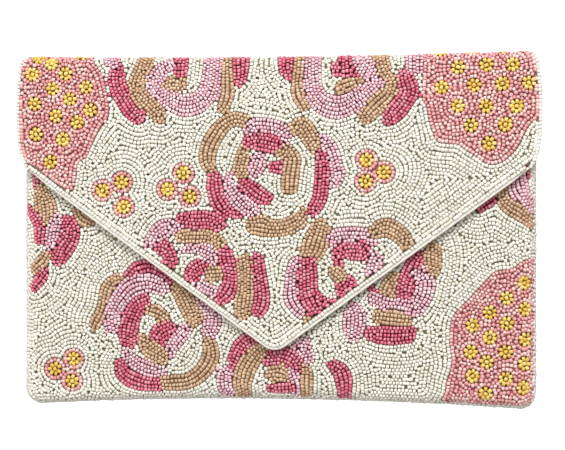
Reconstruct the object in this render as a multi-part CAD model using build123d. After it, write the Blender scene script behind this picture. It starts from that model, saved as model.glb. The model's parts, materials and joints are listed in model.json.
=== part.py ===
from build123d import *

import os
from math import atan, cos, pi, sin

# A beaded envelope clutch, standing on its bottom edge. X runs across the bag, the flap
# faces -Y, and Z runs up to the fold. The origin is under the middle of the bag.
# All lengths are in millimetres.

# Driving dimensions
HEIGHT = 175.0  # floor to the top of the fold
BODY_WIDTH = 256.0
SPINE_WIDTH = 250.0  # the strip over the fold
FLAP_WIDTH = 260.0  # across the flap's widest line
FLAP_LOW_WIDTH = 249.0  # across the flap's two lower corners
FLAP_BULGE_Z = 140.0  # height of the flap's widest line
VEE_RISE = 0.727  # rise of the flap's point edges per unit of width
VEE_Z = 27.0  # height where the two point edges would meet
TIP_RADIUS = 8.5
CAVITY = 9.5  # inside depth of the empty pouch
ARCH = 3.5  # how far the bottom edge rises between its corners
CORNER_RADIUS = 8.5  # the pouch's bottom corners, seen from the front
RIM_RADIUS = 7.5  # the rounding from each panel into the seam
MOUTH_DROP = 11.0  # fold to the front panel's top edge
FLAP_GAP = 0.5  # flap facing to the front panel's beads
FOLD_RADIUS = 5.0  # the outside rounding of both folds
JOINT_GAP = 0.2  # play on each side of a fold's mitre
LAID_GAP = 0.2  # play between a trim and what it lies on

# The cloth stack, as depths below the beads' outer face
BEADS = (0.0, 2.2)
CLOTH = (2.2, 3.0)
INTERLINING = (3.0, 4.2)
LINING = (4.2, 4.6)
STACK = 4.6

# The flap's trims
PIPING_WIDTH = 2.4
EDGE_ROW = (1.9, 4.1)  # in from the piping's outer edge
FIELD_INSET = 4.5  # where the flap's bead field starts
STIFFENER_INSET = 5.0

# The magnetic snap
SNAP_Z = 46.0
CAP_RADIUS = 7.0
STUD_RADIUS = 2.3
HOLE_RADIUS = 2.7
MAGNET_RADIUS = 6.4
MAGNET_HOLE = 3.1
PLATE_RADIUS = 6.4
WASHER_RADIUS = 8.0
PATCH_RADIUS = 10.0
POCKET_RADIUS = 10.3  # the hole in the interlining around the washer
BEAD_CLEARING = 8.2  # the round left bare of beads for the socket
PRONG = (5.0, 0.4)  # width and thickness
PRONG_X = 3.6  # each prong, out from the snap's centre
TAB_LENGTH = 3.0

# The mouth and the inside pocket
BINDING_DEPTH = 6.0
BINDING_CLOTH = 0.4
BINDING_WIDTH = 232.0
POCKET_WIDTH = 150.0
POCKET_Z = (36.0, 130.0)
POCKET_STANDOFF = 0.5
HEM_DEPTH = 8.0

# Derived planes
POUCH_DEPTH = 2 * STACK + CAVITY
DEPTH = POUCH_DEPTH + FLAP_GAP + STACK
Y_BACK = DEPTH / 2
Y_FLAP = -DEPTH / 2
Y_FRONT = Y_BACK - POUCH_DEPTH
Y_MID = (Y_BACK + Y_FRONT) / 2
MOUTH_Z = HEIGHT - MOUTH_DROP
VEE_ANGLE = atan(VEE_RISE)
HINGE_INSET = FOLD_RADIUS * (1 - pi / 4)  # here a fold opens flat without stretching
BEYOND = 20.0  # how far a cutting block reaches past what it cuts


def slab(sketch, y_low, y_high):
    """A sketch drawn in X and Z, made solid between two Y planes."""
    return extrude(Plane.XZ.offset(-y_high) * sketch, amount=y_high - y_low)


def prism(points, width=FLAP_WIDTH + BEYOND):
    """A solid across the bag whose outline is drawn in Y and Z."""
    outline = make_face(Polyline(*points, close=True))
    return extrude(Plane.YZ.offset(-width / 2) * outline, amount=width)


def block(y_low, y_high, z_low, z_high, width=FLAP_WIDTH + BEYOND):
    """A square-cornered block across the bag."""
    return prism(((y_low, z_low), (y_high, z_low), (y_high, z_high), (y_low, z_high)), width)


def disc(radius, y_low, y_high, x=0.0):
    """A round plate in the snap's place."""
    return slab(Pos(x, SNAP_Z) * Circle(radius), y_low, y_high)


def plate(width, height, x, y_low, y_high):
    """A rectangular plate beside the snap's centre."""
    return slab(Pos(x, SNAP_Z) * Rectangle(width, height), y_low, y_high)


def pouch_outline(inset):
    """The pouch seen from the front, drawn in by inset and run on past the fold."""
    half = BODY_WIDTH / 2 - inset
    corner_x = BODY_WIDTH / 2 - CORNER_RADIUS
    bend = (CORNER_RADIUS - inset) * sin(atan(1.0))
    top = HEIGHT + BEYOND
    lines = [
        Line((-half, top), (-half, CORNER_RADIUS)),
        ThreePointArc(
            (-half, CORNER_RADIUS),
            (-corner_x - bend, CORNER_RADIUS - bend),
            (-corner_x, inset),
        ),
        ThreePointArc((-corner_x, inset), (0, inset + ARCH), (corner_x, inset)),
        ThreePointArc(
            (corner_x, inset),
            (corner_x + bend, CORNER_RADIUS - bend),
            (half, CORNER_RADIUS),
        ),
        Line((half, CORNER_RADIUS), (half, top)),
        Line((half, top), (-half, top)),
    ]
    return make_face(lines)


def pouch_form(inset):
    """The whole pouch as one rounded block, shrunk by inset."""
    form = slab(pouch_outline(inset), Y_FRONT + inset, Y_BACK - inset)
    rims = [
        edge
        for y in (Y_FRONT + inset, Y_BACK - inset)
        for edge in form.edges().filter_by_position(Axis.Y, y - 0.01, y + 0.01)
        if edge.center().Z < HEIGHT + BEYOND / 2
    ]
    return fillet(rims, RIM_RADIUS - inset)


def flap_outline(side, vee):
    """The flap seen from the front, drawn in by side at its sides and by vee at its point."""
    top = SPINE_WIDTH / 2 - side
    bulge = FLAP_WIDTH / 2 - side
    low = FLAP_LOW_WIDTH / 2 - side
    radius = TIP_RADIUS - vee
    meet = VEE_Z + vee / cos(VEE_ANGLE)
    low_z = meet + VEE_RISE * low
    tip_x = radius * sin(VEE_ANGLE)
    tip_z = meet + VEE_RISE * tip_x
    tip_low = tip_z + radius * cos(VEE_ANGLE) - radius
    shoulder = [(top, HEIGHT), (bulge, HEIGHT), (bulge, FLAP_BULGE_Z)]
    waist = [(bulge, FLAP_BULGE_Z), (bulge, low_z + 0.3 * (FLAP_BULGE_Z - low_z)), (low, low_z)]
    right_side = [Bezier(*shoulder), Bezier(*waist), Line((low, low_z), (tip_x, tip_z))]
    left_side = [line.mirror(Plane.YZ) for line in right_side]
    tip = ThreePointArc((tip_x, tip_z), (0, tip_low), (-tip_x, tip_z))
    return make_face([Line((-top, HEIGHT), (top, HEIGHT)), *right_side, tip, *left_side])


def fold_outline(inset):
    """The bag from its side: one rounded hood over both folds, drawn in by inset."""
    y_low, y_high, top = Y_FLAP + inset, Y_BACK - inset, HEIGHT - inset
    radius = FOLD_RADIUS - inset
    bend = radius * (1 - sin(atan(1.0)))
    lines = [
        Line((y_low, -BEYOND), (y_low, top - radius)),
        ThreePointArc((y_low, top - radius), (y_low + bend, top - bend), (y_low + radius, top)),
        Line((y_low + radius, top), (y_high - radius, top)),
        ThreePointArc((y_high - radius, top), (y_high - bend, top - bend), (y_high, top - radius)),
        Line((y_high, top - radius), (y_high, -BEYOND)),
        Line((y_high, -BEYOND), (y_low, -BEYOND)),
    ]
    return make_face(lines)


def hood(depths, width):
    """One cloth layer of the sheet that runs up the back, over the folds and down the flap."""
    outer, inner = (
        extrude(Plane.YZ.offset(-width / 2) * fold_outline(depth), amount=width) for depth in depths
    )
    return outer - inner


# What belongs to each body: each fold is parted by a plane at 45 degrees
MITRE_TOP = HEIGHT - JOINT_GAP  # where those planes, less the play, meet the panels' faces
BACK_SIDE = prism(
    (
        (Y_MID, -BEYOND),
        (Y_BACK + BEYOND, -BEYOND),
        (Y_BACK + BEYOND, MITRE_TOP + BEYOND),
        (Y_MID, MITRE_TOP - (Y_BACK - Y_MID)),
    )
)
FRONT_SIDE = block(Y_FRONT - BEYOND, Y_MID, -BEYOND, MOUTH_Z)
FLAP_SIDE = prism(
    ((Y_FLAP, -BEYOND), (0, -BEYOND), (0, MITRE_TOP - DEPTH / 2), (Y_FLAP, MITRE_TOP))
)
SPINE_SIDE = prism(
    (
        (0, HEIGHT + JOINT_GAP - DEPTH / 2),
        (DEPTH / 2 + 1, HEIGHT + JOINT_GAP + 1),
        (-DEPTH / 2 - 1, HEIGHT + JOINT_GAP + 1),
    ),
    SPINE_WIDTH,
)
FOLD_ZONE = block(Y_MID, Y_BACK + BEYOND, HEIGHT - FOLD_RADIUS, HEIGHT + BEYOND)


def front_layer(depths):
    """One cloth layer of the pouch's front half, seam to seam."""
    return (pouch_form(depths[0]) - pouch_form(depths[1])) & FRONT_SIDE


def back_layer(depths):
    """One cloth layer of the pouch's back half, seam to seam and up into the back fold."""
    tray = ((pouch_form(depths[0]) - pouch_form(depths[1])) & BACK_SIDE) - FOLD_ZONE
    return tray + (hood(depths, SPINE_WIDTH) & BACK_SIDE & FOLD_ZONE)


def spine_layer(depths):
    """One layer of the strip over the top, between the two folds."""
    return hood(depths, SPINE_WIDTH) & SPINE_SIDE


def flap_layer(depths, side, vee):
    """One layer of the flap, up into the front fold."""
    seen = slab(flap_outline(side, vee), Y_FLAP - 1, Y_FLAP + BEYOND)
    return hood(depths, FLAP_WIDTH) & FLAP_SIDE & seen


def prongs(y_from, y_tab, tab_side):
    """A pair of prongs that run from y_from to y_tab and turn outwards there."""
    width, thickness = PRONG
    y_low, y_high = sorted((y_from, y_tab))
    y_tab_low, y_tab_high = sorted((y_tab, y_tab + tab_side * thickness))
    legs = None
    for way in (-1, 1):
        leg = plate(thickness, width, way * PRONG_X, y_low, y_high)
        tab_x = way * (PRONG_X + (TAB_LENGTH - thickness) / 2)
        tab = plate(TAB_LENGTH, width, tab_x, y_tab_low, y_tab_high)
        pair = leg + tab
        legs = pair if legs is None else legs + pair
    return legs


def prong_slots(y_low, y_high):
    """The two slits that the prongs pass through."""
    width, thickness = PRONG
    slots = [
        plate(thickness + LAID_GAP, width + LAID_GAP, way * PRONG_X, y_low, y_high)
        for way in (-1, 1)
    ]
    return slots[0] + slots[1]


def pouch_panels():
    """The four layers of each half of the pouch."""
    front_cloth = front_layer(CLOTH)
    front_cloth -= prong_slots(Y_FRONT + CLOTH[0] - 1, Y_FRONT + CLOTH[1] + 1)
    front_beads = front_layer(BEADS)
    front_beads -= disc(BEAD_CLEARING, Y_FRONT - 1, Y_FRONT + BEADS[1] + 1)
    binding_line = MOUTH_Z - BINDING_DEPTH - LAID_GAP
    bare_top = (Y_FRONT - BEYOND, Y_FRONT + BEADS[1], binding_line, MOUTH_Z + 1)
    front_beads -= block(*bare_top, BINDING_WIDTH + 2 * LAID_GAP)
    front_interlining = front_layer(INTERLINING)
    front_interlining -= disc(POCKET_RADIUS, Y_FRONT + INTERLINING[0] - 1, Y_FRONT + INTERLINING[1] + 1)
    return {
        "back_beads": back_layer(BEADS),
        "back_cloth": back_layer(CLOTH),
        "back_interlining": back_layer(INTERLINING),
        "back_lining": back_layer(LINING),
        "front_beads": front_beads,
        "front_cloth": front_cloth,
        "front_interlining": front_interlining,
        "front_lining": front_layer(LINING),
    }


def mouth_binding():
    """Folded cloth over the top edge of the front panel."""
    y_outer = Y_FRONT + CLOTH[0] - BINDING_CLOTH
    y_inner = Y_FRONT + STACK + BINDING_CLOTH
    top = MOUTH_Z + BINDING_CLOTH
    low = MOUTH_Z - BINDING_DEPTH
    outer = block(y_outer, y_inner, low, top, BINDING_WIDTH)
    inner = (y_outer + BINDING_CLOTH, y_inner - BINDING_CLOTH, low - 1, MOUTH_Z)
    return outer - block(*inner, BINDING_WIDTH + 2)


def slip_pocket():
    """The flat pocket sewn to the back lining, open at its top, and its hem."""
    low, high = POCKET_Z
    y_sewn = Y_BACK - STACK
    y_inner = y_sewn - POCKET_STANDOFF
    y_outer = y_inner - BINDING_CLOTH
    middle = (low + high) / 2
    panel = slab(Pos(0, middle) * Rectangle(POCKET_WIDTH, high - low), y_outer, y_sewn)
    hollow = slab(
        Pos(0, middle + BINDING_CLOTH) * Rectangle(POCKET_WIDTH - 2 * BINDING_CLOTH, high - low),
        y_inner,
        y_sewn,
    )
    hem = slab(
        Pos(0, high - HEM_DEPTH / 2) * Rectangle(POCKET_WIDTH, HEM_DEPTH),
        y_outer - BINDING_CLOTH,
        y_outer,
    )
    return {"slip_pocket": panel - hollow, "pocket_hem": hem}


def fold_and_flap():
    """The strip over the fold and the layers and trims of the flap."""
    y_facing = Y_FLAP + LINING[0]
    facing = flap_layer(LINING, 0.8, PIPING_WIDTH)
    facing -= prong_slots(y_facing - 1, Y_FLAP + STACK + 1)
    stiffener = flap_layer(INTERLINING, STIFFENER_INSET, STIFFENER_INSET)
    stiffener -= disc(POCKET_RADIUS, Y_FLAP + INTERLINING[0] - 1, Y_FLAP + INTERLINING[1] + 1)
    row = slab(flap_outline(0, EDGE_ROW[0]), Y_FLAP + BEADS[0], Y_FLAP + BEADS[1])
    row -= slab(flap_outline(-1, EDGE_ROW[1]), Y_FLAP - 1, Y_FLAP + BEADS[1] + 1)
    piping = slab(flap_outline(0, 0), Y_FLAP + BEADS[1], Y_FLAP + STACK)
    piping -= slab(flap_outline(-1, PIPING_WIDTH), Y_FLAP, Y_FLAP + STACK + 1)
    return {
        "spine_beads": spine_layer(BEADS),
        "spine_cloth": spine_layer(CLOTH),
        "spine_interlining": spine_layer(INTERLINING),
        "spine_lining": spine_layer(LINING),
        "flap_beads": flap_layer(BEADS, 0.0, FIELD_INSET),
        "flap_cloth": flap_layer(CLOTH, 0.8, PIPING_WIDTH),
        "flap_stiffener": stiffener,
        "flap_facing": facing,
        "flap_edge_beads": row,
        "flap_piping": piping,
    }


def snap_socket():
    """The magnet half of the snap, set through the front panel."""
    face = Y_FRONT + 0.35
    plate_y = Y_FRONT + 1.85
    cloth_y = Y_FRONT + CLOTH[0]
    washer_y = Y_FRONT + INTERLINING[0]
    wall = 0.4
    shell = disc(CAP_RADIUS, face, cloth_y) - disc(CAP_RADIUS - wall, face + wall, cloth_y + 1)
    shell -= disc(HOLE_RADIUS, face - 1, cloth_y + 1)
    magnet = disc(MAGNET_RADIUS, face + wall, plate_y) - disc(MAGNET_HOLE, face, plate_y + 1)
    tab_y = washer_y + wall
    base = disc(PLATE_RADIUS, plate_y, cloth_y) + prongs(cloth_y, tab_y, 1)
    washer = disc(WASHER_RADIUS, washer_y, tab_y) - prong_slots(washer_y - 1, tab_y + 1)
    patch_y = Y_FRONT + INTERLINING[1]
    return {
        "snap_socket_shell": shell,
        "snap_magnet": magnet,
        "snap_socket_prongs": base,
        "snap_socket_washer": washer,
        "socket_patch": disc(PATCH_RADIUS, patch_y - 0.35, patch_y),
    }


def snap_stud():
    """The stud half of the snap, set through the flap's facing."""
    facing_y = Y_FLAP + STACK
    plate_y = facing_y + 0.3
    cap_y = plate_y + 0.4
    tip_y = cap_y + 1.45
    washer_y = Y_FLAP + LINING[0]
    wall = 0.4
    stud = disc(CAP_RADIUS, plate_y, cap_y) + disc(STUD_RADIUS, cap_y, tip_y)
    stud = chamfer(stud.edges().group_by(Axis.Y)[-1], 0.35)
    tab_y = washer_y - wall
    base = disc(PLATE_RADIUS, facing_y, plate_y) + prongs(facing_y, tab_y, -1)
    washer = disc(WASHER_RADIUS, tab_y, washer_y) - prong_slots(tab_y - 1, washer_y + 1)
    patch_y = Y_FLAP + INTERLINING[0]
    return {
        "snap_stud": stud,
        "snap_stud_prongs": base,
        "snap_stud_washer": washer,
        "stud_patch": disc(PATCH_RADIUS, patch_y, patch_y + 0.35),
    }


os.makedirs("parts", exist_ok=True)
print(f"hinge lines at Y {Y_BACK - HINGE_INSET:.3f} and {Y_FLAP + HINGE_INSET:.3f},", end=" ")
print(f"Z {HEIGHT - HINGE_INSET:.3f}")

parts = {
    **pouch_panels(),
    "mouth_binding": mouth_binding(),
    **slip_pocket(),
    **fold_and_flap(),
    **snap_socket(),
    **snap_stud(),
}
for name, solid in parts.items():
    export_step(solid, f"parts/{name}.step")
    box = solid.bounding_box()
    low, high = box.min, box.max
    extent = f"Y {low.Y:6.2f} to {high.Y:6.2f}, Z {low.Z:6.2f} to {high.Z:6.2f}"
    print(f"{name:20s} {extent}, {solid.volume:9.1f}")
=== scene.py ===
"""The looks of a beaded envelope clutch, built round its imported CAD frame."""

import json
import math

import bpy
import numpy as np
from mathutils import Vector, kdtree
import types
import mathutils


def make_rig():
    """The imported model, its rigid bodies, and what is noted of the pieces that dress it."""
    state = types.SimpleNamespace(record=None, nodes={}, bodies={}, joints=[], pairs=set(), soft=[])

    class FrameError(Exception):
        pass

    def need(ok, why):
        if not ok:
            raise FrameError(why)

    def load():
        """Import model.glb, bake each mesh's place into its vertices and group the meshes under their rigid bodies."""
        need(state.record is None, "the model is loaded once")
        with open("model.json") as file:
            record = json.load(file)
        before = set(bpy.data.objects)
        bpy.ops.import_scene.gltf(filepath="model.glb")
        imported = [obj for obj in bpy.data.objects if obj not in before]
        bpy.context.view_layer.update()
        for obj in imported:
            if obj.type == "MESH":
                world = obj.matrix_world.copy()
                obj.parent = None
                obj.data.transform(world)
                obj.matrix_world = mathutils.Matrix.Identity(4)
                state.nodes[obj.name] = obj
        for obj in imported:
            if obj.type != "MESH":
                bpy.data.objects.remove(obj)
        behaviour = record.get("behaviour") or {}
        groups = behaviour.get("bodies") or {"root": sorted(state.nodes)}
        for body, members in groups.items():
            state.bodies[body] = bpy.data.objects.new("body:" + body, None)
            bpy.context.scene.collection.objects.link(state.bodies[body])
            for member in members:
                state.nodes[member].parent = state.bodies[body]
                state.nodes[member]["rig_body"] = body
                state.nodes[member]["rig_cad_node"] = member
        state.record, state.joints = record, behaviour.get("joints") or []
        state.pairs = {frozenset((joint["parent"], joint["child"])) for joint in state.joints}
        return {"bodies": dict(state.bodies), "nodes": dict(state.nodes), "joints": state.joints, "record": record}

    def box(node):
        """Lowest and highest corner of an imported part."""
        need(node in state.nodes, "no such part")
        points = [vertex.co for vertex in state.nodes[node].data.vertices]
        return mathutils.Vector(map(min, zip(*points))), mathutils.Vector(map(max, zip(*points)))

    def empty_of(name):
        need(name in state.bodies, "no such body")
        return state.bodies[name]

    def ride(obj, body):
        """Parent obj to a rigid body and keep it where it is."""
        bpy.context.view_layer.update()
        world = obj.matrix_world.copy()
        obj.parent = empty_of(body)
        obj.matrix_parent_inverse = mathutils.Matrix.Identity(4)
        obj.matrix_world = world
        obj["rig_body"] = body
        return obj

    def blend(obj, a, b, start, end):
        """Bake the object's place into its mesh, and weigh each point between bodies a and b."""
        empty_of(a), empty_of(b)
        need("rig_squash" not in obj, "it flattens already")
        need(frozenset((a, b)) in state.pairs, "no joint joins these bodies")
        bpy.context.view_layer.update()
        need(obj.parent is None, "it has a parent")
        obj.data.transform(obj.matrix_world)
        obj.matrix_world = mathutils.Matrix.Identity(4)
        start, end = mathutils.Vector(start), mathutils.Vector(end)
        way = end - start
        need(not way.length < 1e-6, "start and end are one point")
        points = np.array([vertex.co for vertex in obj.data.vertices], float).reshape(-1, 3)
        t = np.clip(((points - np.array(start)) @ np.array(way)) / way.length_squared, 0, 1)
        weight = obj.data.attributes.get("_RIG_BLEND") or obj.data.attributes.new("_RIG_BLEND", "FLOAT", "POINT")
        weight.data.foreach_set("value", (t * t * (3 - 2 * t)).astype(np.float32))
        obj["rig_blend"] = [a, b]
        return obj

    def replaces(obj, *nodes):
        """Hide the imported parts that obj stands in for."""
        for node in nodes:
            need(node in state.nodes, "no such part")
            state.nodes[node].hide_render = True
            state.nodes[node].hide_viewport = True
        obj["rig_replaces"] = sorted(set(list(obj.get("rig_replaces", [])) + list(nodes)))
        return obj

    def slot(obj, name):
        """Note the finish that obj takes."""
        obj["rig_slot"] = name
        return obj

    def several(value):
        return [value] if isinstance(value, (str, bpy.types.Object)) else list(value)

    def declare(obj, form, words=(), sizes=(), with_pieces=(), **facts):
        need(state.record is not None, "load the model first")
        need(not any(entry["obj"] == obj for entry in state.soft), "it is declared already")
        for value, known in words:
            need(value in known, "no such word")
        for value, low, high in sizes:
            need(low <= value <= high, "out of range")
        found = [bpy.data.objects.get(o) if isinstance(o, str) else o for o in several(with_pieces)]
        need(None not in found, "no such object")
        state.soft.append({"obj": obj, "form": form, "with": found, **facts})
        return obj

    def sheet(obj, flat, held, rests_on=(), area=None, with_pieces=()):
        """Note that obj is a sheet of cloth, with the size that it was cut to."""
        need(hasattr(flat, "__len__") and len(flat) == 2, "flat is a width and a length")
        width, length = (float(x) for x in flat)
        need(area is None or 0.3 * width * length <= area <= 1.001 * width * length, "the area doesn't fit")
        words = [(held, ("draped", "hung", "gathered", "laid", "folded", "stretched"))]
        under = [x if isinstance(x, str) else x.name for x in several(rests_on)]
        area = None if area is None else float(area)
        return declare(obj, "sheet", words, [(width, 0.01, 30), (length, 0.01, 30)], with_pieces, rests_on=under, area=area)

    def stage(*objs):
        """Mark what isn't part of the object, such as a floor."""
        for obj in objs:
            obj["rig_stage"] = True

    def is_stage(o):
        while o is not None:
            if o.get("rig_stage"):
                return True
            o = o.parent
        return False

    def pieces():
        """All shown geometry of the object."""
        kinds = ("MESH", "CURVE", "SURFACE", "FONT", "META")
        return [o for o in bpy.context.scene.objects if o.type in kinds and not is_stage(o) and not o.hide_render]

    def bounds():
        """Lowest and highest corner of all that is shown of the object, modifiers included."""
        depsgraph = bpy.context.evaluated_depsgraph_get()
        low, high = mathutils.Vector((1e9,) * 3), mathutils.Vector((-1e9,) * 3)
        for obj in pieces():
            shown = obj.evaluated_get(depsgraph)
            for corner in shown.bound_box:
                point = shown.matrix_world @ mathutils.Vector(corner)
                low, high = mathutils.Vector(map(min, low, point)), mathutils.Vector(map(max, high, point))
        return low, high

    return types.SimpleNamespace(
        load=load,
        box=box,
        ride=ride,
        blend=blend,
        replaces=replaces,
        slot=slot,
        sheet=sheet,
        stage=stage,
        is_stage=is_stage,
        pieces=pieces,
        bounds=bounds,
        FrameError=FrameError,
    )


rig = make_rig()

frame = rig.load()
cad_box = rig.bounds()

MM = 0.001
FAR = 99.0  # further than any distance that is compared with it
RANDOM = np.random.default_rng(12)


def corners(*nodes):
    """The lowest and highest corner of some CAD nodes together, in millimetres."""
    boxes = [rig.box(node) for node in nodes]
    low = np.min([np.array(low) for low, _ in boxes], axis=0)
    high = np.max([np.array(high) for _, high in boxes], axis=0)
    return low / MM, high / MM


# Sizes of the CAD model, in millimetres. Everything up to make_mesh() works in millimetres.
HEIGHT = corners("spine_beads")[1][2]
HALF_SPINE = corners("spine_beads")[1][0]
HALF_BODY = corners("front_beads")[1][0]
HALF_FLAP = corners("flap_beads")[1][0]
Y_BACK = corners("back_beads")[1][1]
Y_SEAM = corners("front_beads")[1][1]
MOUTH_Z = corners("front_beads")[1][2]
BINDING_Z, BINDING_HALF = corners("mouth_binding")[0][2], corners("mouth_binding")[1][0]
SNAP_Z = sum(c[2] for c in corners("snap_magnet")) / 2
SNAP_CLEARING = 8.6
FOLD_RADIUS = 5.0
FOLD_Z = HEIGHT - FOLD_RADIUS
HALF_DEPTH = Y_BACK

# The flap's point: its two edges rise by VEE_RISE from VEE_Z, with a rounded tip
FLAP_LOW_HALF = HALF_FLAP - 5.5
FLAP_BULGE_Z = HEIGHT - 35.0
VEE_Z = 27.0
VEE_RISE = 0.727
VEE = math.atan(VEE_RISE)
TIP_RADIUS = 8.5
TIP_Z = VEE_Z + TIP_RADIUS / math.cos(VEE)  # centre of the tip's rounding
FLAP_CORNER_Z = VEE_Z + VEE_RISE * FLAP_LOW_HALF

# The cloth stack, as depths below the beads' outer face
CLOTH = (1.9, 2.6)
FELT = (2.7, 4.1)
SATIN = (4.2, 4.6)
STACK = 4.6

# The pouch's shape: a quarter round from each seam, then a soft crown
RIM = 7.4
ROLL = RIM * (math.pi / 2 - 1)  # what the rim's arc adds to the flat panel on each side
CROWN = Y_BACK - Y_SEAM - RIM
SWELL_REACH = 45.0
CORNER = 8.5 + ROLL
ARCH = 3.5
ARCH_HALF = HALF_BODY - 8.5
HALF_SEAM = HALF_BODY + ROLL  # half the panel's width, laid flat
RIM_FADE = 10.0  # over this height the back's rim turns into the flat strip over the fold
FOLD_ARC = 6.9  # the fold's length along the beads
RIDGE = FOLD_Z + FOLD_ARC + HALF_DEPTH - FOLD_RADIUS  # the middle of the strip over the top
SAG = 1.2  # how far the top dips between its ends
SAG_REACH = 30.0  # how far below the fold the dip fades out
LIE_Z = 120.0  # below this the flap lies on the pouch's crown
PLAIN_EDGE = 4.6  # width of the plain rows along a pouch panel's edge

# Seed beads
BEAD = 2.02
BEAD_LENGTH = 1.72
BEAD_HOLE = 0.8
BEAD_PITCH = 1.80
ROW = 2.04
BEAD_GAP = 1.52  # a bead of a row is left out where another's centre is nearer than this
FLOWER = 3.65  # radius of one yellow flower
EDGE_ROW = 2.25  # the flap's edge row, in from the outer edge of the piping
RIDGE_ROW = 0.9  # half the width of the row along the ridge
SIDE_ROWS = 1.6  # width of the wrapped rows along the flap's sides, seen from the front


def ease(t):
    """0 to 1 with a soft start and end."""
    t = np.clip(t, 0, 1)
    return t * t * (3 - 2 * t)


def unit(vectors):
    return vectors / (np.linalg.norm(vectors, axis=-1, keepdims=True) + 1e-12)


def travelled(line):
    """How far along a line each of its points lies."""
    steps = np.linalg.norm(np.diff(line, axis=0), axis=1)
    return np.concatenate([[0], np.cumsum(steps)])


def points_at(line, distances, at):
    """The points that lie at some distances along a line, from its own points' distances."""
    return np.stack([np.interp(at, distances, side) for side in line.T], -1)


# ---------------------------------------------------------------- the three beaded sheets
# A sheet is drawn flat in x and p, where p is the height up the panel and then the
# distance on over the fold, and a surface function puts a flat point in its place.


def swell(x, p):
    """How full the pouch is: 0 at its seams and 1 over its middle."""
    across = np.clip((HALF_SEAM - np.abs(x)) / SWELL_REACH, 0, 1)
    up = np.clip((p + ROLL) / SWELL_REACH, 0, 1)
    return (np.sin(math.pi / 2 * across) * np.sin(math.pi / 2 * up)) ** 2


def arch(x):
    """How far the bottom edge rises between the pouch's corners."""
    return ARCH * np.clip(1 - (x / ARCH_HALF) ** 2, 0, 1)


def rim_inset(x, p):
    """Distance in from the seam of a pouch panel laid flat, and the direction in."""
    out_x = np.abs(x) - (HALF_SEAM - CORNER)
    out_p = CORNER - ROLL + arch(x) - p
    at_corner = (out_x > 0) & (out_p > 0)
    reach = np.hypot(np.maximum(out_x, 0), np.maximum(out_p, 0)) + 1e-9
    inset = CORNER - np.where(at_corner, reach, np.maximum(out_x, out_p))
    side = -np.sign(x)
    in_x = np.where(at_corner, side * out_x / reach, np.where(out_x > out_p, side, 0))
    in_p = np.where(at_corner, out_p / reach, np.where(out_x > out_p, 0, 1))
    return inset, in_x, in_p


def panel_point(x, p, way):
    """A point of the pouch's outer face, on the back where way is 1 and the front where it is -1."""
    inset, in_x, in_p = rim_inset(x, p)
    turn = np.clip(inset / RIM, 0, math.pi / 2)
    slide = RIM * (1 - np.cos(turn)) - np.clip(inset, 0, RIM * math.pi / 2) + ROLL
    depth = RIM * np.sin(turn) + CROWN * swell(x, p)
    return np.stack([x + in_x * slide, Y_SEAM + way * depth, p + in_p * slide], -1)


def over_fold(x, p):
    """Distance out from the bag's middle plane, and height, of a point on the fold's path."""
    turn = np.clip((p - FOLD_Z) / FOLD_ARC, 0, 1) * math.pi / 2
    along = np.maximum(p - FOLD_Z - FOLD_ARC, 0)
    out = HALF_DEPTH - FOLD_RADIUS * (1 - np.cos(turn)) - along
    sag = SAG * np.clip(1 - (x / HALF_SPINE) ** 2, 0, 1) * ease((p - FOLD_Z + SAG_REACH) / SAG_REACH)
    return out, np.minimum(p, FOLD_Z) + FOLD_RADIUS * np.sin(turn) - sag


def rim_fade(p):
    return ease((p - FOLD_Z + RIM_FADE) / RIM_FADE)


def front_surface(x, p):
    """The outer face of the front panel."""
    return panel_point(x, p, -1)


def back_surface(x, p):
    """The outer face of the back panel, and on over the fold to the ridge."""
    out, z = over_fold(x, p)
    fade = rim_fade(p)[..., None]
    return panel_point(x, np.minimum(p, FOLD_Z), 1) * (1 - fade) + np.stack([x, out, z], -1) * fade


def flap_surface(x, p):
    """The outer face of the flap, which lies on the pouch's crown, and on over its fold."""
    out, z = over_fold(x, p)
    lie = CROWN * (1 - swell(x, p)) * (1 - ease((p - LIE_Z) / (FOLD_Z - LIE_Z)))
    return np.stack([x, lie - out, z], -1)


def back_half_width(p):
    """Half the back panel's width, laid flat: it narrows to the strip over the fold."""
    return HALF_SEAM + (HALF_SPINE - HALF_SEAM) * rim_fade(p)


def bezier(start, control, end, count=12):
    """Points along a curve that bends towards its control point."""
    t = np.linspace(0, 1, count)[:, None]
    start, control, end = np.array(start), np.array(control), np.array(end)
    return start * (1 - t) ** 2 + 2 * control * t * (1 - t) + end * t**2


FLAP_WAIST = (HALF_FLAP, FLAP_CORNER_Z + 0.3 * (FLAP_BULGE_Z - FLAP_CORNER_Z))
FLAP_SIDE = np.vstack(
    [
        bezier((FLAP_LOW_HALF, FLAP_CORNER_Z), FLAP_WAIST, (HALF_FLAP, FLAP_BULGE_Z)),
        bezier((HALF_FLAP, FLAP_BULGE_Z), (HALF_FLAP, HEIGHT), (HALF_SPINE, HEIGHT))[1:],
    ]
)


def flap_side_width(p):
    """Half the flap's width at a height, if the flap had no point."""
    return np.interp(p, FLAP_SIDE[:, 1], FLAP_SIDE[:, 0])


def vee_inset(x, p):
    """Distance in from the outer edge of the piping along the flap's point."""
    straight = (p - VEE_Z - VEE_RISE * np.abs(x)) * math.cos(VEE)
    drop = TIP_Z - p
    at_tip = (drop > 0) & (np.abs(x) < drop * math.tan(VEE))
    return np.where(at_tip, TIP_RADIUS - np.hypot(x, drop), straight)


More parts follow.
